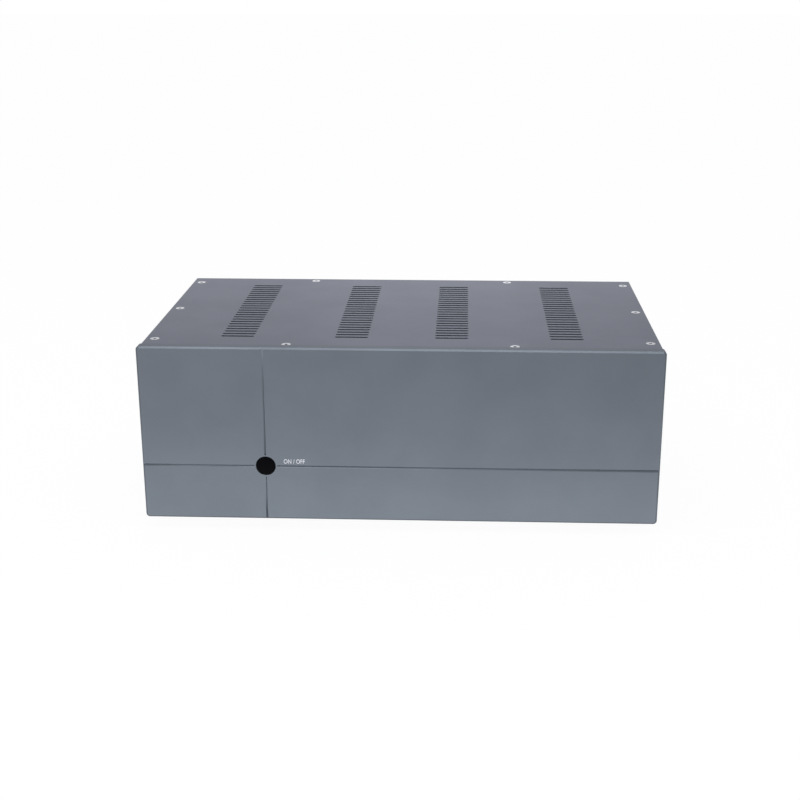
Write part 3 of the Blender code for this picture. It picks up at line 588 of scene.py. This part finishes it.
def add_turned(
    work: bmesh.types.BMesh, profile: Loop, segments: int, place: Vector, facing: Vector
) -> None:
    """Adds a solid turned round an axis. A profile whose ends are off the axis closes on itself.

    Args:
        work: The bmesh that takes the solid.
        profile: Radius and height of each point, in order.
        segments: Facets round the axis.
        place: Where the profile's zero height lies on the axis.
        facing: The direction in which heights grow.
    """
    turn = Vector((0, 0, 1)).rotation_difference(facing).to_matrix()
    angles = [2 * math.pi * i / segments for i in range(segments)]
    rings = []
    for radius, height in profile:
        if radius < ON_AXIS:
            rings.append([place + turn @ Vector((0, 0, height))])
            continue
        rings.append(
            [place + turn @ Vector((radius * math.cos(a), radius * math.sin(a), height)) for a in angles]
        )
    add_loft(work, rings, round_again=len(rings[0]) > 1)


def carved(piece: bpy.types.Object, cutter: bmesh.types.BMesh) -> None:
    """Cuts a set of closed shapes out of a piece and keeps the result as its mesh.

    Args:
        piece: The piece to cut.
        cutter: The closed shapes, which don't touch each other. It is freed.
    """
    tool = finished(piece.name + "_cutter", cutter)
    modifier = piece.modifiers.new("cut", "BOOLEAN")
    modifier.operation = "DIFFERENCE"
    modifier.solver = "EXACT"
    modifier.object = tool
    applied(piece)
    shaded(piece, SMOOTH_ANGLE)
    bpy.data.objects.remove(tool)


def middle(node: str) -> Vector:
    """The centre of a CAD node's box."""
    low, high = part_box(node)
    return (low + high) / 2


# Sub-assemblies


@dataclass
class FrontPanel:
    """The milled front panel: chamfered, with a cross of V grooves that stops short of the bore."""

    corner_radius: float = 3.0 * MM
    corner_steps: int = 14
    chamfer: float = 1.4 * MM
    rear_chamfer: float = 0.4 * MM
    edge_facet: float = 0.12 * MM
    facet_near: float = 0.3
    facet_far: float = 0.7
    groove_width: float = 2.3 * MM
    groove_depth: float = 1.05 * MM
    groove_land: float = 1.4 * MM
    bore_radius: float = 8.05 * MM
    bore_chamfer: float = 0.4 * MM
    bore_lip: float = 0.2
    screw_hole: float = 2.3 * MM
    screw_hole_depth: float = 7.0 * MM

    def build(self) -> bpy.types.Object:
        """Builds the panel over its CAD node.

        Returns:
            The panel.
        """
        low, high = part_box("front_panel")
        outline = rounded_box(high.x, low.z, high.z, self.corner_radius, self.corner_steps)
        facet, front, back = self.edge_facet, low.y, high.y
        near, far = facet * self.facet_near, facet * self.facet_far
        steps = [
            (front, self.chamfer + facet),
            (front + far, self.chamfer - near),
            (front + self.chamfer - near, far),
            (front + self.chamfer + facet, 0.0),
            (back - self.rear_chamfer, 0.0),
            (back, self.rear_chamfer),
        ]
        work = bmesh.new()
        add_prism(work, outline, Axis.Y, steps)
        panel = finished("front_plate", work)
        carved(panel, self.cutters(low, high))
        return panel

    def cutters(self, low: Vector, high: Vector) -> bmesh.types.BMesh:
        """The grooves, the bore and the blind holes as closed shapes.

        Args:
            low: The panel's lowest corner.
            high: The panel's highest corner.

        Returns:
            The shapes.
        """
        work = bmesh.new()
        button = middle("power_button")
        front, back = low.y, high.y
        reach = self.bore_radius + self.groove_land
        runs = (
            (Axis.Z, low.z - CUT_MARGIN, button.z - reach),
            (Axis.Z, button.z + reach, high.z + CUT_MARGIN),
            (Axis.X, low.x - CUT_MARGIN, button.x - reach),
            (Axis.X, button.x + reach, high.x + CUT_MARGIN),
        )
        for axis, start, end in runs:
            centre = button.x if axis is Axis.Z else button.z
            section = self.groove_section(centre, front)
            if axis is Axis.X:
                section = [(y, u) for u, y in reversed(section)]
            add_loft(work, [levelled(section, start, axis), levelled(section, end, axis)])
        bore = self.bore_radius
        mouth, lip = bore + self.bore_chamfer, self.bore_lip * self.bore_chamfer
        profile = [
            (0.0, CUT_MARGIN),
            (mouth + CUT_MARGIN, CUT_MARGIN),
            (mouth - lip, -lip),
            (bore, -self.bore_chamfer),
            (bore, front - back - CUT_MARGIN),
            (0.0, front - back - CUT_MARGIN),
        ]
        place = Vector((button.x, front, button.z))
        add_turned(work, profile, TURNED_SEGMENTS, place, Vector((0, -1, 0)))
        for i in range(1, 5):
            screw = middle(f"panel_screw_{i}")
            profile = [
                (0.0, CUT_MARGIN),
                (self.screw_hole, CUT_MARGIN),
                (self.screw_hole, -self.screw_hole_depth),
                (0.0, -self.screw_hole_depth),
            ]
            place = Vector((screw.x, back, screw.z))
            add_turned(work, profile, BLIND_HOLE_SEGMENTS, place, Vector((0, 1, 0)))
        return work

    def groove_section(self, centre: float, front: float) -> list[Point2]:
        """A groove cutter's section: a V of 90 degrees with a small flat at its foot.

        Args:
            centre: The groove's middle across the panel.
            front: The panel's front plane.

        Returns:
            The section's points, with the depth second.
        """
        half = self.groove_width / 2
        right = [(half + CUT_MARGIN, -CUT_MARGIN), (half - self.groove_depth, self.groove_depth)]
        left = [(-u, v) for u, v in reversed(right)]
        return [(centre + u, front + v) for u, v in right + left]


@dataclass
class TopCover:
    """The top cover: a plate with rounded long edges, columns of slots and ten countersunk holes."""

    edge_radius: float = 0.7 * MM
    edge_steps: int = 10
    edge_break: float = 0.1 * MM
    slot_length: float = 28.0 * MM
    slot_width: float = 4.0 * MM
    slot_pitch: float = 8.0 * MM
    slot_rows: int = 24
    slot_end_steps: int = 8
    from_front: float = 32.5 * MM
    columns: tuple[float, ...] = (-138.0 * MM, -42.0 * MM, 42.0 * MM, 138.0 * MM)
    hole_radius: float = 2.3 * MM
    countersink_radius: float = 4.15 * MM

    def build(self) -> bpy.types.Object:
        """Builds the cover over its CAD node.

        Returns:
            The cover.
        """
        low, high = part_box("top_cover")
        radius = self.edge_radius
        right = arc((high.x - radius, high.z - radius), radius, 0.0, math.pi / 2, self.edge_steps)
        left = arc((low.x + radius, high.z - radius), radius, math.pi / 2, math.pi, self.edge_steps)
        section = [(high.x, low.z), *right, *left, (low.x, low.z)]
        work = bmesh.new()
        add_prism(work, section, Axis.Y, edge_break(low.y, high.y, self.edge_break))
        cover = finished("slotted_cover", work)
        cutter = bmesh.new()
        mouths = flared(low.z, high.z, self.edge_break)
        for x in self.columns:
            for row in range(self.slot_rows):
                y = low.y + self.from_front + row * self.slot_pitch
                outline = stadium(x, y, self.slot_length, self.slot_width, self.slot_end_steps)
                add_prism(cutter, outline, Axis.Z, mouths)
        wide, hole = self.countersink_radius, self.hole_radius
        profile = [
            (0.0, CUT_MARGIN),
            (wide + self.edge_break + CUT_MARGIN, CUT_MARGIN),
            (wide, -self.edge_break),
            (hole, hole - wide - self.edge_break),
            (hole, low.z - high.z - CUT_MARGIN),
            (0.0, low.z - high.z - CUT_MARGIN),
        ]
        for i in range(1, 11):
            screw = middle(f"cover_screw_{i:02d}")
            place = Vector((screw.x, screw.y, high.z))
            add_turned(cutter, profile, HOLE_SEGMENTS, place, Vector((0, 0, 1)))
        carved(cover, cutter)
        return cover


class Head(Enum):
    """The forms of a screw's head."""

    BUTTON = "button"
    CHEESE = "cheese"
    COUNTERSUNK = "countersunk"


@dataclass
class MachineScrew:
    """A metric screw with a hexagon socket and a rolled thread, its head upwards."""

    shank: float
    head: float
    head_height: float
    key: float
    pitch: float
    form: Head
    segments: int = 48
    rows_per_turn: int = 6
    smooth_angle: float = 35.0
    thread_depth: float = 0.54
    bare_neck: float = 0.4
    run_out: float = 0.35
    tip: float = 0.9
    cone_break: float = 0.12 * MM
    dome_flat: float = 0.26
    dome_steps: int = 10
    socket_depth: float = 0.6
    socket_lead: float = 0.12 * MM
    drill_width: float = 0.8
    drill_depth: float = 0.35 * MM

    def mesh(self, name: str, length: float) -> bpy.types.Mesh:
        """Builds the screw along +Z with its seat, or a countersunk head's top, at zero height.

        Args:
            name: The mesh's name.
            length: The length below the seat, or the whole length of a countersunk screw.

        Returns:
            The mesh.
        """
        rings = self.tip_and_thread(length) + self.head_rings() + self.socket_rings()
        work = bmesh.new()
        add_loft(work, rings)
        piece = finished(name, work, self.smooth_angle)
        mesh = piece.data
        bpy.data.objects.remove(piece)
        return mesh

    def ring(self, radius: Callable[[float], float], height: float) -> list[Vector]:
        """A ring of points whose radius depends on the angle.

        Args:
            radius: Gives the radius at an angle in radians.
            height: The ring's height.

        Returns:
            The points.
        """
        angles = [2 * math.pi * i / self.segments for i in range(self.segments)]
        return [Vector((radius(a) * math.cos(a), radius(a) * math.sin(a), height)) for a in angles]

    def tip_and_thread(self, length: float) -> list[list[Vector]]:
        """The rings from the chamfered tip up the thread, to just below the head.

        Args:
            length: The length below the seat.

        Returns:
            The rings, lowest first.
        """
        major = self.shank / 2
        depth = self.thread_depth * self.pitch
        top = -self.bare_neck * self.pitch - (self.cone_depth() if self.form is Head.COUNTERSUNK else 0.0)
        count = max(2, round((length + top) / self.pitch * self.rows_per_turn))
        rings = [[Vector((0, 0, -length))], self.ring(lambda a: (major - depth) * self.tip, -length)]
        for i in range(1, count + 1):
            height = -length + (length + top) * i / count
            taper = min(1.0, (height + length) / self.pitch, (top - height) / self.pitch + self.run_out)

            def radius(angle: float, height: float = height, taper: float = taper) -> float:
                """The thread's radius at this height, cut back at both of its ends."""
                phase = (height / self.pitch - angle / (2 * math.pi)) % 1.0
                return major - depth + depth * max(0.0, taper) * (1 - abs(2 * phase - 1))

            rings.append(self.ring(radius, height))
        return rings

    def cone_depth(self) -> float:
        """The height of a countersunk head's cone."""
        return self.head / 2 - self.shank / 2

    def head_rings(self) -> list[list[Vector]]:
        """The rings round the head, from the shank to the socket's mouth.

        Returns:
            The rings, lowest first.
        """
        rim, half, height = self.head / 2, self.shank / 2, self.head_height
        if self.form is Head.COUNTERSUNK:
            soft = self.cone_break
            places = [(half, -self.cone_depth()), (rim - soft, -soft), (rim - 0.4 * soft, -0.3 * soft)]
            places.append((rim - soft, 0.0))
        elif self.form is Head.CHEESE:
            soft = 0.15 * height
            places = [(half, 0.0), (rim - 0.1 * MM, 0.0), (rim, 0.1 * MM), (rim, height - soft)]
            places += arc((rim - soft, height - soft), soft, 0.0, math.pi / 2, 4)[1:]
        else:
            flat = self.head * self.dome_flat
            places = [(half, 0.0), (rim - 0.12 * MM, 0.0), (rim - 0.02 * MM, 0.06 * MM)]
            for i in range(1, self.dome_steps + 1):
                turn = math.pi / 2 * (1 - i / self.dome_steps)
                places.append((flat + (rim - flat) * math.sin(turn), height * math.cos(turn)))
        return [self.ring(lambda a, r=r: r, z) for r, z in places]

    def socket_rings(self) -> list[list[Vector]]:
        """The rings of the hexagon socket, from its lead-in down to the drilled centre.

        Returns:
            The rings, in order.
        """
        flush = self.form is Head.COUNTERSUNK
        top = 0.0 if flush else self.head_height
        depth = self.socket_depth * (self.cone_depth() if flush else self.head_height)
        across, lead = self.key / 2, self.socket_lead

        def hexagon(angle: float) -> float:
            """The hexagon's radius at an angle."""
            turn = (angle + math.pi / 6) % (math.pi / 3) - math.pi / 6
            return across / math.cos(turn)

        corner = across / math.cos(math.pi / 6)
        return [
            self.ring(lambda a: corner + lead, top),
            self.ring(hexagon, top - lead),
            self.ring(hexagon, top - depth),
            self.ring(lambda a: across * self.drill_width, top - depth - 0.05 * MM),
            [Vector((0, 0, top - depth - self.drill_depth))],
        ]


@dataclass
class Fasteners:
    """Every screw of the chassis, each in the place of its CAD node.

    Each copy is turned by one more step, since real screws stop at any angle.
    """

    first_turn: float = 17.0
    turn_step: float = 41.0

    def build(self, workshop: Workshop) -> None:
        """Builds and dresses all the screws.

        Args:
            workshop: Gives the screws' material.
        """
        m4 = dict(shank=4.0 * MM, head=7.6 * MM, head_height=2.2 * MM, key=2.5 * MM, pitch=0.7 * MM)
        m3 = dict(shank=3.0 * MM, head=5.7 * MM, head_height=1.65 * MM, key=2.0 * MM, pitch=0.5 * MM)
        flat_m4 = dict(m4, head=8.0 * MM, head_height=0.0)
        flat_m3 = dict(m3, head=5.6 * MM, head_height=0.0)
        up, down, front, back = (0, 0, 1), (0, 0, -1), (0, -1, 0), (0, 1, 0)
        numbers = [f"{i:02d}" for i in range(1, 11)]
        four = [str(i) for i in range(1, 5)]
        sets = (
            ("cover_screw", numbers, MachineScrew(**flat_m4, form=Head.COUNTERSUNK), up),
            ("base_screw", numbers, MachineScrew(**m4, form=Head.CHEESE), down),
            ("foot_screw", CORNERS, MachineScrew(**m4, form=Head.CHEESE), down),
            ("rear_screw", four, MachineScrew(**m3, form=Head.BUTTON), back),
            ("plate_screw", four, MachineScrew(**flat_m3, form=Head.COUNTERSUNK), front),
            ("panel_screw", four, MachineScrew(**m4, form=Head.CHEESE), back),
            ("bracket_screw", ["left", "right"], MachineScrew(**m3, form=Head.CHEESE), back),
            ("switch_screw", ["front", "rear"], MachineScrew(**m3, form=Head.CHEESE), down),
        )
        for kind, names, screw, direction in sets:
            self.place_set(workshop, kind, names, screw, Vector(direction))

    def place_set(
        self, workshop: Workshop, kind: str, names: Sequence[str], screw: MachineScrew, facing: Vector
    ) -> None:
        """Builds one kind of screw and sets a copy in each of its places.

        Args:
            workshop: Gives the screws' material.
            kind: The start of the CAD nodes' names.
            names: The rest of each name.
            screw: The screw's form.
            facing: The way that the heads face.
        """
        low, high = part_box(f"{kind}_{names[0]}")
        span = abs((high - low).dot(facing))
        mesh = screw.mesh(kind, span - screw.head_height)
        turn = Vector((0, 0, 1)).rotation_difference(facing)
        for i, name in enumerate(names):
            node = f"{kind}_{name}"
            low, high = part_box(node)
            centre = middle(node)
            top = max(low.dot(facing), high.dot(facing))
            seat = centre + facing * (top - screw.head_height - centre.dot(facing))
            spin = Matrix.Rotation(math.radians(self.first_turn + self.turn_step * i), 4, "Z")
            piece = placed(f"{kind}_fine_{name}", mesh)
            piece.matrix_world = Matrix.Translation(seat) @ turn.to_matrix().to_4x4() @ spin
            workshop.dress(piece, Slot.SCREW, Body.CHASSIS, node)


@dataclass
class PowerButton:
    """The turned button: a shallow dome with a rounded edge, a stop collar and a boss behind."""

    diameter: float = 15.6 * MM
    edge_radius: float = 1.2 * MM
    edge_steps: int = 10
    dome: float = 0.5 * MM
    dome_steps: int = 12
    proud: float = 0.8 * MM
    collar_radius: float = 9.3 * MM
    collar_front: float = -10.3 * MM
    collar_thickness: float = 1.5 * MM
    boss_radius: float = 4.5 * MM
    recess_half: float = 2.3 * MM
    recess_depth: float = 4.5 * MM
    soft: float = 0.15 * MM

    def build(self) -> bpy.types.Object:
        """Builds the button over its CAD node.

        Returns:
            The button.
        """
        low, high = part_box("power_button")
        centre = middle("power_button")
        front = low.y + self.proud
        radius, shoulder = self.diameter / 2, self.proud - self.dome
        flat, count = radius - self.edge_radius, self.dome_steps
        crown = [(flat * i / count, shoulder + self.dome * (1 - (i / count) ** 2)) for i in range(count)]
        turn = (flat, shoulder - self.edge_radius)
        edge = arc(turn, self.edge_radius, math.pi / 2, 0.0, self.edge_steps)
        collar_back = self.collar_front - self.collar_thickness
        boss_back, soft = front - high.y, self.soft
        profile = crown + edge + [
            (radius, self.collar_front),
            (self.collar_radius - soft, self.collar_front),
            (self.collar_radius, self.collar_front - soft),
            (self.collar_radius, collar_back + soft),
            (self.collar_radius - soft, collar_back),
            (self.boss_radius, collar_back),
            (self.boss_radius, boss_back + 2 * soft),
            (self.boss_radius - 2 * soft, boss_back),
            (0.0, boss_back),
        ]
        work = bmesh.new()
        place = Vector((centre.x, front, centre.z))
        add_turned(work, profile, TURNED_SEGMENTS, place, Vector((0, -1, 0)))
        button = finished("button_cap", work)
        half, back = self.recess_half, high.y
        corners = ((half, -half), (half, half), (-half, half), (-half, -half))
        square = [(centre.x + u, centre.z + v) for u, v in corners]
        cutter = bmesh.new()
        add_prism(cutter, square, Axis.Y, [(back - self.recess_depth, 0.0), (back + CUT_MARGIN, 0.0)])
        carved(button, cutter)
        return button


@dataclass
class ButtonPrint:
    """The pale print beside the button, which says what its two positions are."""

    words: str = "ON / OFF"
    from_button: float = 15.2 * MM
    above_groove: float = 2.35 * MM
    cap_height: float = 3.9 * MM
    width: float = 17.6 * MM
    weight: float = 0.004
    curve_steps: int = 4
    thickness: float = 0.03 * MM

    def build(self) -> bpy.types.Object:
        """Builds the letters as thin solids that lie on the panel's face.

        Returns:
            The print.
        """
        curve = bpy.data.curves.new("button_print", "FONT")
        curve.body = self.words
        curve.extrude = self.thickness
        curve.offset = self.weight
        curve.resolution_u = self.curve_steps
        guide = placed("button_print_guide", curve)
        bpy.context.view_layer.update()
        graph = bpy.context.evaluated_depsgraph_get()
        mesh = bpy.data.meshes.new_from_object(guide.evaluated_get(graph))
        mesh.name = "button_print"
        bpy.data.objects.remove(guide)
        bpy.data.curves.remove(curve)
        xs = [vertex.co.x for vertex in mesh.vertices]
        ys = [vertex.co.y for vertex in mesh.vertices]
        button, front = middle("power_button"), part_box("front_panel")[0].y
        across = self.width / (max(xs) - min(xs))
        up = self.cap_height / (max(ys) - min(ys))
        left = button.x + self.from_button
        foot = button.z + self.above_groove
        for vertex in mesh.vertices:
            x, y, z = vertex.co
            depth = front - (self.thickness + z) / 2
            vertex.co = (left + (x - min(xs)) * across, depth, foot + (y - min(ys)) * up)
        return placed("button_print", mesh)


@dataclass
class Foot:
    """A turned foot with a ring groove, and the rubber ring let into its underside."""

    flare: float = 2.0 * MM
    chamfer: float = 1.0 * MM
    rim_wall: float = 2.0 * MM
    well_radius: float = 6.0 * MM
    seat_thickness: float = 3.2 * MM
    hole_radius: float = 2.3 * MM
    recess_top: float = 3.3 * MM
    groove_depth: float = 0.5 * MM
    groove_half: float = 0.45 * MM
    groove_levels: tuple[float, ...] = (0.62, 0.40)
    soft: float = 0.2 * MM
    pad_width: float = 5.5 * MM
    pad_edge: float = 0.5 * MM
    pad_edge_steps: int = 4

    def build(self, name: str) -> bpy.types.Object:
        """Builds one foot over its CAD node.

        Args:
            name: Which foot, such as front_left.

        Returns:
            The foot.
        """
        low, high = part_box(f"foot_{name}")
        centre = middle(f"foot_{name}")
        base, top = low.z, high.z
        wide = (high.x - low.x) / 2
        narrow = wide - self.flare
        recess = narrow - self.rim_wall
        slope = self.flare / (top - self.chamfer - base)
        soft, half = self.soft, self.groove_half

        def side(height: float) -> float:
            """The flank's radius at a height."""
            return narrow + slope * (height - base)

        grooves: list[Point2] = []
        for level in self.groove_levels:
            height = base + (top - base) * level
            grooves += [
                (side(height + half), height + half),
                (side(height) - self.groove_depth, height),
                (side(height - half), height - half),
            ]
        profile = [
            (self.hole_radius + soft, top),
            (wide - self.chamfer, top),
            (wide - 0.3 * self.chamfer, top - 0.3 * self.chamfer),
            (wide, top - self.chamfer),
            *grooves,
            (side(base + soft), base + soft),
            (narrow - soft, base),
            (recess + soft, base),
            (recess, base + soft),
            (recess, self.recess_top),
            (self.well_radius + soft, self.recess_top),
            (self.well_radius, self.recess_top + soft),
            (self.well_radius, top - self.seat_thickness),
            (self.hole_radius, top - self.seat_thickness),
            (self.hole_radius, top - soft),
        ]
        work = bmesh.new()
        add_turned(work, profile, TURNED_SEGMENTS, Vector((centre.x, centre.y, 0)), Vector((0, 0, 1)))
        return finished(f"turned_foot_{name}", work)

    def build_pad(self, name: str) -> bpy.types.Object:
        """Builds the rubber ring of one foot over its CAD node.

        Args:
            name: Which foot.

        Returns:
            The ring.
        """
        low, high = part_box(f"foot_pad_{name}")
        centre = middle(f"foot_pad_{name}")
        outer = (high.x - low.x) / 2
        inner = outer - self.pad_width
        top, soft, edge, steps = high.z, self.soft, self.pad_edge, self.pad_edge_steps
        profile = [
            (inner + soft, top),
            (outer - soft, top),
            (outer, top - soft),
            *arc((outer - edge, edge), edge, 0.0, -math.pi / 2, steps),
            *arc((inner + edge, edge), edge, -math.pi / 2, -math.pi, steps),
            (inner, top - soft),
        ]
        work = bmesh.new()
        add_turned(work, profile, TURNED_SEGMENTS, Vector((centre.x, centre.y, 0)), Vector((0, 0, 1)))
        return finished(f"rubber_ring_{name}", work)


@dataclass
class SoftenedSheet:
    """A plate, extrusion or moulding of the CAD with its raw edges broken as a file would leave them."""

    node: str
    slot: Slot
    edge: float = 0.15 * MM
    body: Body = Body.CHASSIS
    weld: float = 1e-6
    flat_angle: float = 0.5
    sharp_angle: float = 50.0
    smooth_angle: float = 40.0

    def build(self) -> bpy.types.Object:
        """Copies the CAD node's mesh, merges its flat faces and breaks its edges.

        Returns:
            The piece.
        """
        work = bmesh.new()
        work.from_mesh(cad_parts[self.node].data)
        bmesh.ops.remove_doubles(work, verts=work.verts, dist=self.weld)
        flat, limit = math.radians(self.flat_angle), math.radians(self.sharp_angle)
        bmesh.ops.dissolve_limit(work, angle_limit=flat, verts=work.verts, edges=work.edges)
        sharp = [edge for edge in work.edges if edge.is_manifold and edge.calc_face_angle() > limit]
        bmesh.ops.bevel(
            work, geom=sharp, offset=self.edge, segments=1, affect="EDGES", profile=0.5, clamp_overlap=True
        )
        return finished(f"{self.node}_fine", work, self.smooth_angle)


# Studio


@dataclass
class Lamp:
    """A soft box: where it hangs, what it faces, its width and height, and its power in watts."""

    name: str
    place: tuple[float, float, float]
    aim: tuple[float, float, float]
    size: Point2
    power: float

    def hang(self) -> None:
        """Adds the lamp. It lights the object and is never seen itself."""
        light = bpy.data.lights.new(self.name, "AREA")
        light.shape = "RECTANGLE"
        light.size, light.size_y = self.size
        light.energy = self.power
        lamp = placed(self.name, light)
        lamp.location = self.place
        away = Vector(self.aim) - Vector(self.place)
        lamp.rotation_euler = away.to_track_quat("-Z", "Y").to_euler()
        lamp.visible_camera = False


# Two lit cards lie on the floor before the panel, so its foot is the brightest part. A low lamp
# behind brightens the cover's rear, and a strip overhead catches the panel's top chamfer.
LAMPS = (
    Lamp("near_card", (-0.01, -0.195, 0.004), (-0.01, -0.195, 1.0), (0.70, 0.126), 0.25),
    Lamp("far_card", (-0.03, -0.36, 0.004), (-0.03, -0.36, 1.0), (0.70, 0.20), 0.21),
    Lamp("low_front", (0.0, -1.2, 0.2), (0.0, -0.13, 0.08), (0.5, 0.3), 0.5),
    Lamp("low_left", (-0.6, -1.0, 0.25), (-0.1, -0.13, 0.08), (0.4, 0.3), 1.3),
    Lamp("near_back", (-0.03, 0.30, 0.215), (-0.03, 0.0, 0.215), (0.58, 0.09), 0.08),
    Lamp("far_back", (0.0, 0.5, 0.30), (0.0, 0.0, 0.28), (0.28, 0.16), 0.045),
    Lamp("overhead_strip", (-0.05, -0.47, 1.05), (-0.02, -0.13, 0.1), (1.1, 0.35), 4.0),
)


@dataclass
class Studio:
    """A white floor and surround, soft lamps and the camera, whose angles are in degrees."""

    floor_half: float = 12.0
    white: str = "FFFFFF"
    paper: str = "F4F4F4"
    sky: str = "F4F6FA"
    floor_share: float = 0.955
    fill: float = 0.9
    camera_place: tuple[float, float, float] = (0.05109, -1.16084, 0.45506)
    camera_angles: tuple[float, float, float] = (71.8828, 0.0419, 2.3332)
    lens: float = 59.924
    sensor: float = 36.0
    shift: float = -0.0125
    clip_end: float = 60.0

    def seen(self, tree: bpy.types.NodeTree) -> bpy.types.NodeSocket:
        """Picks out the rays that show the background: to the camera, off gloss and through glass.

        Args:
            tree: The node tree.

        Returns:
            The socket, one for such rays and zero for the rest.
        """
        path = add_node(tree, "ShaderNodeLightPath").outputs
        either = {"operation": "MAXIMUM"}
        pair = {0: path["Is Camera Ray"], 1: path["Is Glossy Ray"]}
        first = add_node(tree, "ShaderNodeMath", either, links=pair).outputs[0]
        pair = {0: first, 1: path["Is Transmission Ray"]}
        return add_node(tree, "ShaderNodeMath", either, links=pair).outputs[0]

    def floor(self) -> None:
        """Lays the floor. What is seen of it is mostly plain white, with the object's shadow."""
        work = bmesh.new()
        half = self.floor_half
        corners = ((-half, -half), (half, -half), (half, half), (-half, half))
        work.faces.new([work.verts.new((x, y, 0.0)) for x, y in corners])
        floor = finished("studio_floor", work)
        material = bpy.data.materials.new("white studio paper")
        material.use_nodes = True
        tree = material.node_tree
        tree.nodes.clear()
        paper = add_node(tree, "ShaderNodeBsdfDiffuse", values={"Color": linear(self.paper)})
        glow = add_node(tree, "ShaderNodeEmission", values={"Color": linear(self.white)})
        times, part, seen = {"operation": "MULTIPLY"}, {1: self.floor_share}, {0: self.seen(tree)}
        share = add_node(tree, "ShaderNodeMath", times, part, seen)
        parts = {0: share.outputs[0], 1: paper.outputs[0], 2: glow.outputs[0]}
        mix = add_node(tree, "ShaderNodeMixShader", links=parts)
        add_node(tree, "ShaderNodeOutputMaterial", links={"Surface": mix.outputs[0]})
        floor.data.materials.append(material)

    def world(self) -> None:
        """Sets an even, slightly cool surround that looks plain white where it is seen."""
        world = bpy.data.worlds.new("white surround")
        bpy.context.scene.world = world
        world.use_nodes = True
        tree = world.node_tree
        tree.nodes.clear()
        parts = {0: self.seen(tree)}
        for i, (colour, strength) in enumerate(((self.sky, self.fill), (self.white, 1.0)), start=1):
            values = {"Color": linear(colour), "Strength": strength}
            parts[i] = add_node(tree, "ShaderNodeBackground", values=values).outputs[0]
        mix = add_node(tree, "ShaderNodeMixShader", links=parts)
        add_node(tree, "ShaderNodeOutputWorld", links={"Surface": mix.outputs[0]})

    def camera(self) -> None:
        """Sets the camera at the photograph's angle: 18 degrees down, just right of the middle."""
        data = bpy.data.cameras.new("camera")
        data.sensor_fit = "HORIZONTAL"
        data.sensor_width = self.sensor
        data.lens = self.lens
        data.shift_x = self.shift
        data.clip_end = self.clip_end
        camera = placed("camera", data)
        camera.location = self.camera_place
        camera.rotation_euler = Euler([math.radians(angle) for angle in self.camera_angles])
        bpy.context.scene.camera = camera

    def build(self) -> None:
        """Sets up the whole studio."""
        bpy.context.scene.view_settings.view_transform = "Standard"
        self.floor()
        self.world()
        for lamp in LAMPS:
            lamp.hang()
        self.camera()


def main() -> None:
    """Builds the sub-assemblies in order and reports each piece."""
    logging.basicConfig(level=logging.INFO, format="%(name)s: %(message)s")
    workshop = Workshop()
    workshop.dress(FrontPanel().build(), Slot.PANEL, Body.CHASSIS, "front_panel")
    workshop.dress(TopCover().build(), Slot.BODY, Body.CHASSIS, "top_cover")
    sheets = (
        SoftenedSheet("side_panel_left", Slot.BODY),
        SoftenedSheet("side_panel_right", Slot.BODY),
        SoftenedSheet("rear_panel", Slot.BODY),
        SoftenedSheet("bottom_plate", Slot.SHEET),
        SoftenedSheet("inner_front_plate", Slot.SHEET),
        SoftenedSheet("switch_bracket", Slot.SHEET),
        SoftenedSheet("switch_housing", Slot.SWITCH, 0.2 * MM),
        SoftenedSheet("switch_plunger", Slot.PLUNGER, 0.2 * MM, Body.BUTTON),
    )
    for sheet in sheets:
        workshop.dress(sheet.build(), sheet.slot, sheet.body, sheet.node)
    Fasteners().build(workshop)
    workshop.dress(PowerButton().build(), Slot.BUTTON, Body.BUTTON, "power_button")
    foot = Foot()
    for name in CORNERS:
        workshop.dress(foot.build(name), Slot.FOOT, Body.CHASSIS, f"foot_{name}")
        workshop.dress(foot.build_pad(name), Slot.PAD, Body.CHASSIS, f"foot_pad_{name}")
    words = ButtonPrint().build()
    words.data.materials.append(workshop.ink)
    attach(words, Body.CHASSIS.value)
    log.info("%s: %d faces", words.name, len(words.data.polygons))
    Studio().build()


if __name__ == "__main__":
    main()
